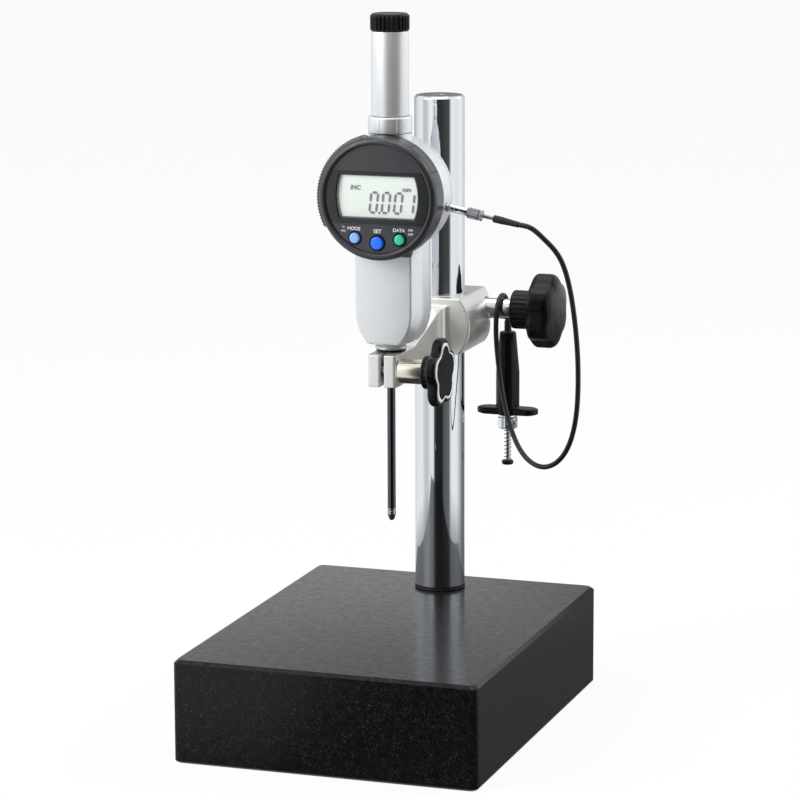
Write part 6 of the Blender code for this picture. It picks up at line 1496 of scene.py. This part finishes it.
class STAND_OT_stage(bpy.types.Operator):
    """Pale floor, soft lamps, a plain white world, and a ring of soft boxes and dark cards
    that only gloss sees."""

    bl_idname = "stand.stage"
    bl_label = "Stage"

    def execute(self, context):
        self.floor(context)
        self.surroundings(context)
        self.lamps(context)
        self.world(context)
        view = context.scene.view_settings
        view.view_transform = "Standard"
        return {"FINISHED"}

    def floor(self, context):
        """A level square. Camera and gloss see it nearly white and still with the shadow."""
        size = 12.0
        mesh = bpy.data.meshes.new("floor")
        mesh.from_pydata([(-size, -size, 0.0), (size, -size, 0.0), (size, size, 0.0), (-size, size, 0.0)], [],
                         [(0, 1, 2, 3)])
        made = bpy.data.materials.new("pale_studio_floor")
        made.use_nodes = True
        tree = made.node_tree
        tree.nodes.clear()
        path = add(tree, "ShaderNodeLightPath", {}, {})
        seen = add(tree, "ShaderNodeMath", {"operation": "MAXIMUM"},
                   {0: path.outputs["Is Camera Ray"], 1: path.outputs["Is Glossy Ray"]})
        seen_too = add(tree, "ShaderNodeMath", {"operation": "MAXIMUM"},
                       {0: seen.outputs[0], 1: path.outputs["Is Transmission Ray"]})
        share = add(tree, "ShaderNodeMath", {"operation": "MULTIPLY"}, {0: seen_too.outputs[0], 1: 0.93})
        plain = add(tree, "ShaderNodeBsdfDiffuse", {}, {"Color": rgba(colours().floor)})
        glow = add(tree, "ShaderNodeEmission", {}, {"Color": (1.0, 1.0, 1.0, 1.0), "Strength": 1.0})
        both = add(tree, "ShaderNodeMixShader", {}, {0: share.outputs[0], 1: plain.outputs[0], 2: glow.outputs[0]})
        add(tree, "ShaderNodeOutputMaterial", {}, {"Surface": both.outputs[0]})
        mesh.materials.append(made)
        obj = bpy.data.objects.new("floor", mesh)
        context.scene.collection.objects.link(obj)

    def surroundings(self, context):
        """An upright ring round the column, with a skirt on the floor inside it, that only
        gloss sees. Its light follows the turn from the camera's own direction, straight
        between the points of a table that has one row for up high and one for low down.
        The skirt darkens towards the base, a painted shade that gloss sees round the base."""
        turn, up, down = np.array(SURROUNDINGS).T
        fine = np.linspace(-180.0, 180.0, 360, endpoint=False)
        up = np.interp(fine, turn, up)
        down = np.interp(fine, turn, down)
        angle = np.radians(CAMERA_AZIMUTH + fine)
        # Painted shade: the skirt's dim level near the base
        near = np.full_like(down, 0.12)
        rows = ((0.04, 0.0012, near), (0.15, 0.0012, near), (RING_REACH, 0.0012, down), (RING_REACH, 0.13, down),
                (RING_REACH, 0.17, up), (RING_REACH, 0.45, up))
        grid = np.stack([np.stack([reach * np.sin(angle), COLUMN_Y - reach * np.cos(angle),
                                   np.full_like(angle, height)], axis=-1) for reach, height, _ in rows])
        obj = self.unseen("surroundings", *skin(grid, ends=(False, False)))
        level = np.concatenate([light for _, _, light in rows])
        obj.data.attributes["level"].data.foreach_set("value", level)

    def unseen(self, name, points, faces):
        """A sheet that only glossy rays meet, and that shines at its own level."""
        mesh = bpy.data.meshes.new(name)
        mesh.from_pydata(points, [], faces)
        mesh.attributes.new("level", "FLOAT", "POINT")
        made = bpy.data.materials.new(name + "_glow")
        made.use_nodes = True
        tree = made.node_tree
        tree.nodes.clear()
        level = add(tree, "ShaderNodeAttribute", {"attribute_name": "level"}, {}).outputs["Fac"]
        glow = add(tree, "ShaderNodeEmission", {}, {"Color": (0.96, 0.985, 1.0, 1.0), "Strength": level})
        add(tree, "ShaderNodeOutputMaterial", {}, {"Surface": glow.outputs[0]})
        mesh.materials.append(made)
        obj = bpy.data.objects.new(name, mesh)
        bpy.context.scene.collection.objects.link(obj)
        obj.visible_camera = False
        obj.visible_diffuse = False
        obj.visible_transmission = False
        obj.visible_shadow = False
        return obj

    def lamps(self, context):
        rows = (("key_lamp", (-0.85, -0.75, 0.85), 0.7, 15.0), ("rear_lamp", (0.95, 0.75, 0.65), 0.8, 9.0),
                ("top_lamp", (0.0, 0.2, 1.6), 1.0, 6.0))
        for name, place, size, power in rows:
            data = bpy.data.lights.new(name, "AREA")
            data.size = size
            data.energy = power
            lamp = bpy.data.objects.new(name, data)
            lamp.location = place
            lamp.rotation_mode = "QUATERNION"
            aim = Vector((0.0, 0.0, 0.18)) - Vector(place)
            lamp.rotation_quaternion = aim.to_track_quat("-Z", "Y")
            context.scene.collection.objects.link(lamp)

    def world(self, context):
        """White to the camera and to gloss, and gentler on the object itself."""
        world = bpy.data.worlds.new("studio")
        world.use_nodes = True
        tree = world.node_tree
        tree.nodes.clear()
        path = add(tree, "ShaderNodeLightPath", {}, {})
        seen = add(tree, "ShaderNodeMath", {"operation": "MAXIMUM"},
                   {0: path.outputs["Is Camera Ray"], 1: path.outputs["Is Transmission Ray"]})
        gloss = add(tree, "ShaderNodeMath", {"operation": "MULTIPLY_ADD"},
                    {0: path.outputs["Is Glossy Ray"], 1: 0.52, 2: 0.38})
        strength = add(tree, "ShaderNodeMath", {"operation": "MAXIMUM"}, {0: seen.outputs[0], 1: gloss.outputs[0]})
        light = add(tree, "ShaderNodeBackground", {}, {"Color": (1.0, 1.0, 1.0, 1.0), "Strength": strength.outputs[0]})
        add(tree, "ShaderNodeOutputWorld", {}, {"Surface": light.outputs[0]})
        context.scene.world = world


OPERATORS = (STAND_OT_camera, STAND_OT_cable, STAND_OT_base, STAND_OT_column, STAND_OT_bracket, STAND_OT_column_knob,
             STAND_OT_stem_knob, STAND_OT_case, STAND_OT_cover_tube, STAND_OT_stem, STAND_OT_display,
             STAND_OT_readout, STAND_OT_buttons, STAND_OT_release_fitting, STAND_OT_release_handle,
             STAND_OT_inside, STAND_OT_stage)


class STAND_PT_looks(bpy.types.Panel):
    """Lists the stand's pieces, sizes and colours."""

    bl_label = "Comparator stand"
    bl_idname = "STAND_PT_looks"
    bl_space_type = "VIEW_3D"
    bl_region_type = "UI"
    bl_category = "Stand"

    def draw(self, context):
        for operator in OPERATORS:
            self.layout.operator(operator.bl_idname)
        for group in (sizes(), colours()):
            for name in group.bl_rna.properties.keys():
                if name not in {"rna_type", "name"}:
                    self.layout.prop(group, name)


CLASSES = (StandSizes, StandColours, *OPERATORS, STAND_PT_looks)


def register():
    for item in CLASSES:
        bpy.utils.register_class(item)
    bpy.types.Scene.stand_sizes = PointerProperty(type=StandSizes)
    bpy.types.Scene.stand_colours = PointerProperty(type=StandColours)


def unregister():
    del bpy.types.Scene.stand_colours
    del bpy.types.Scene.stand_sizes
    for item in reversed(CLASSES):
        bpy.utils.unregister_class(item)


def main():
    register()
    for operator in OPERATORS:
        group, name = operator.bl_idname.split(".")
        getattr(getattr(bpy.ops, group), name)()


if __name__ == "__main__":
    main()
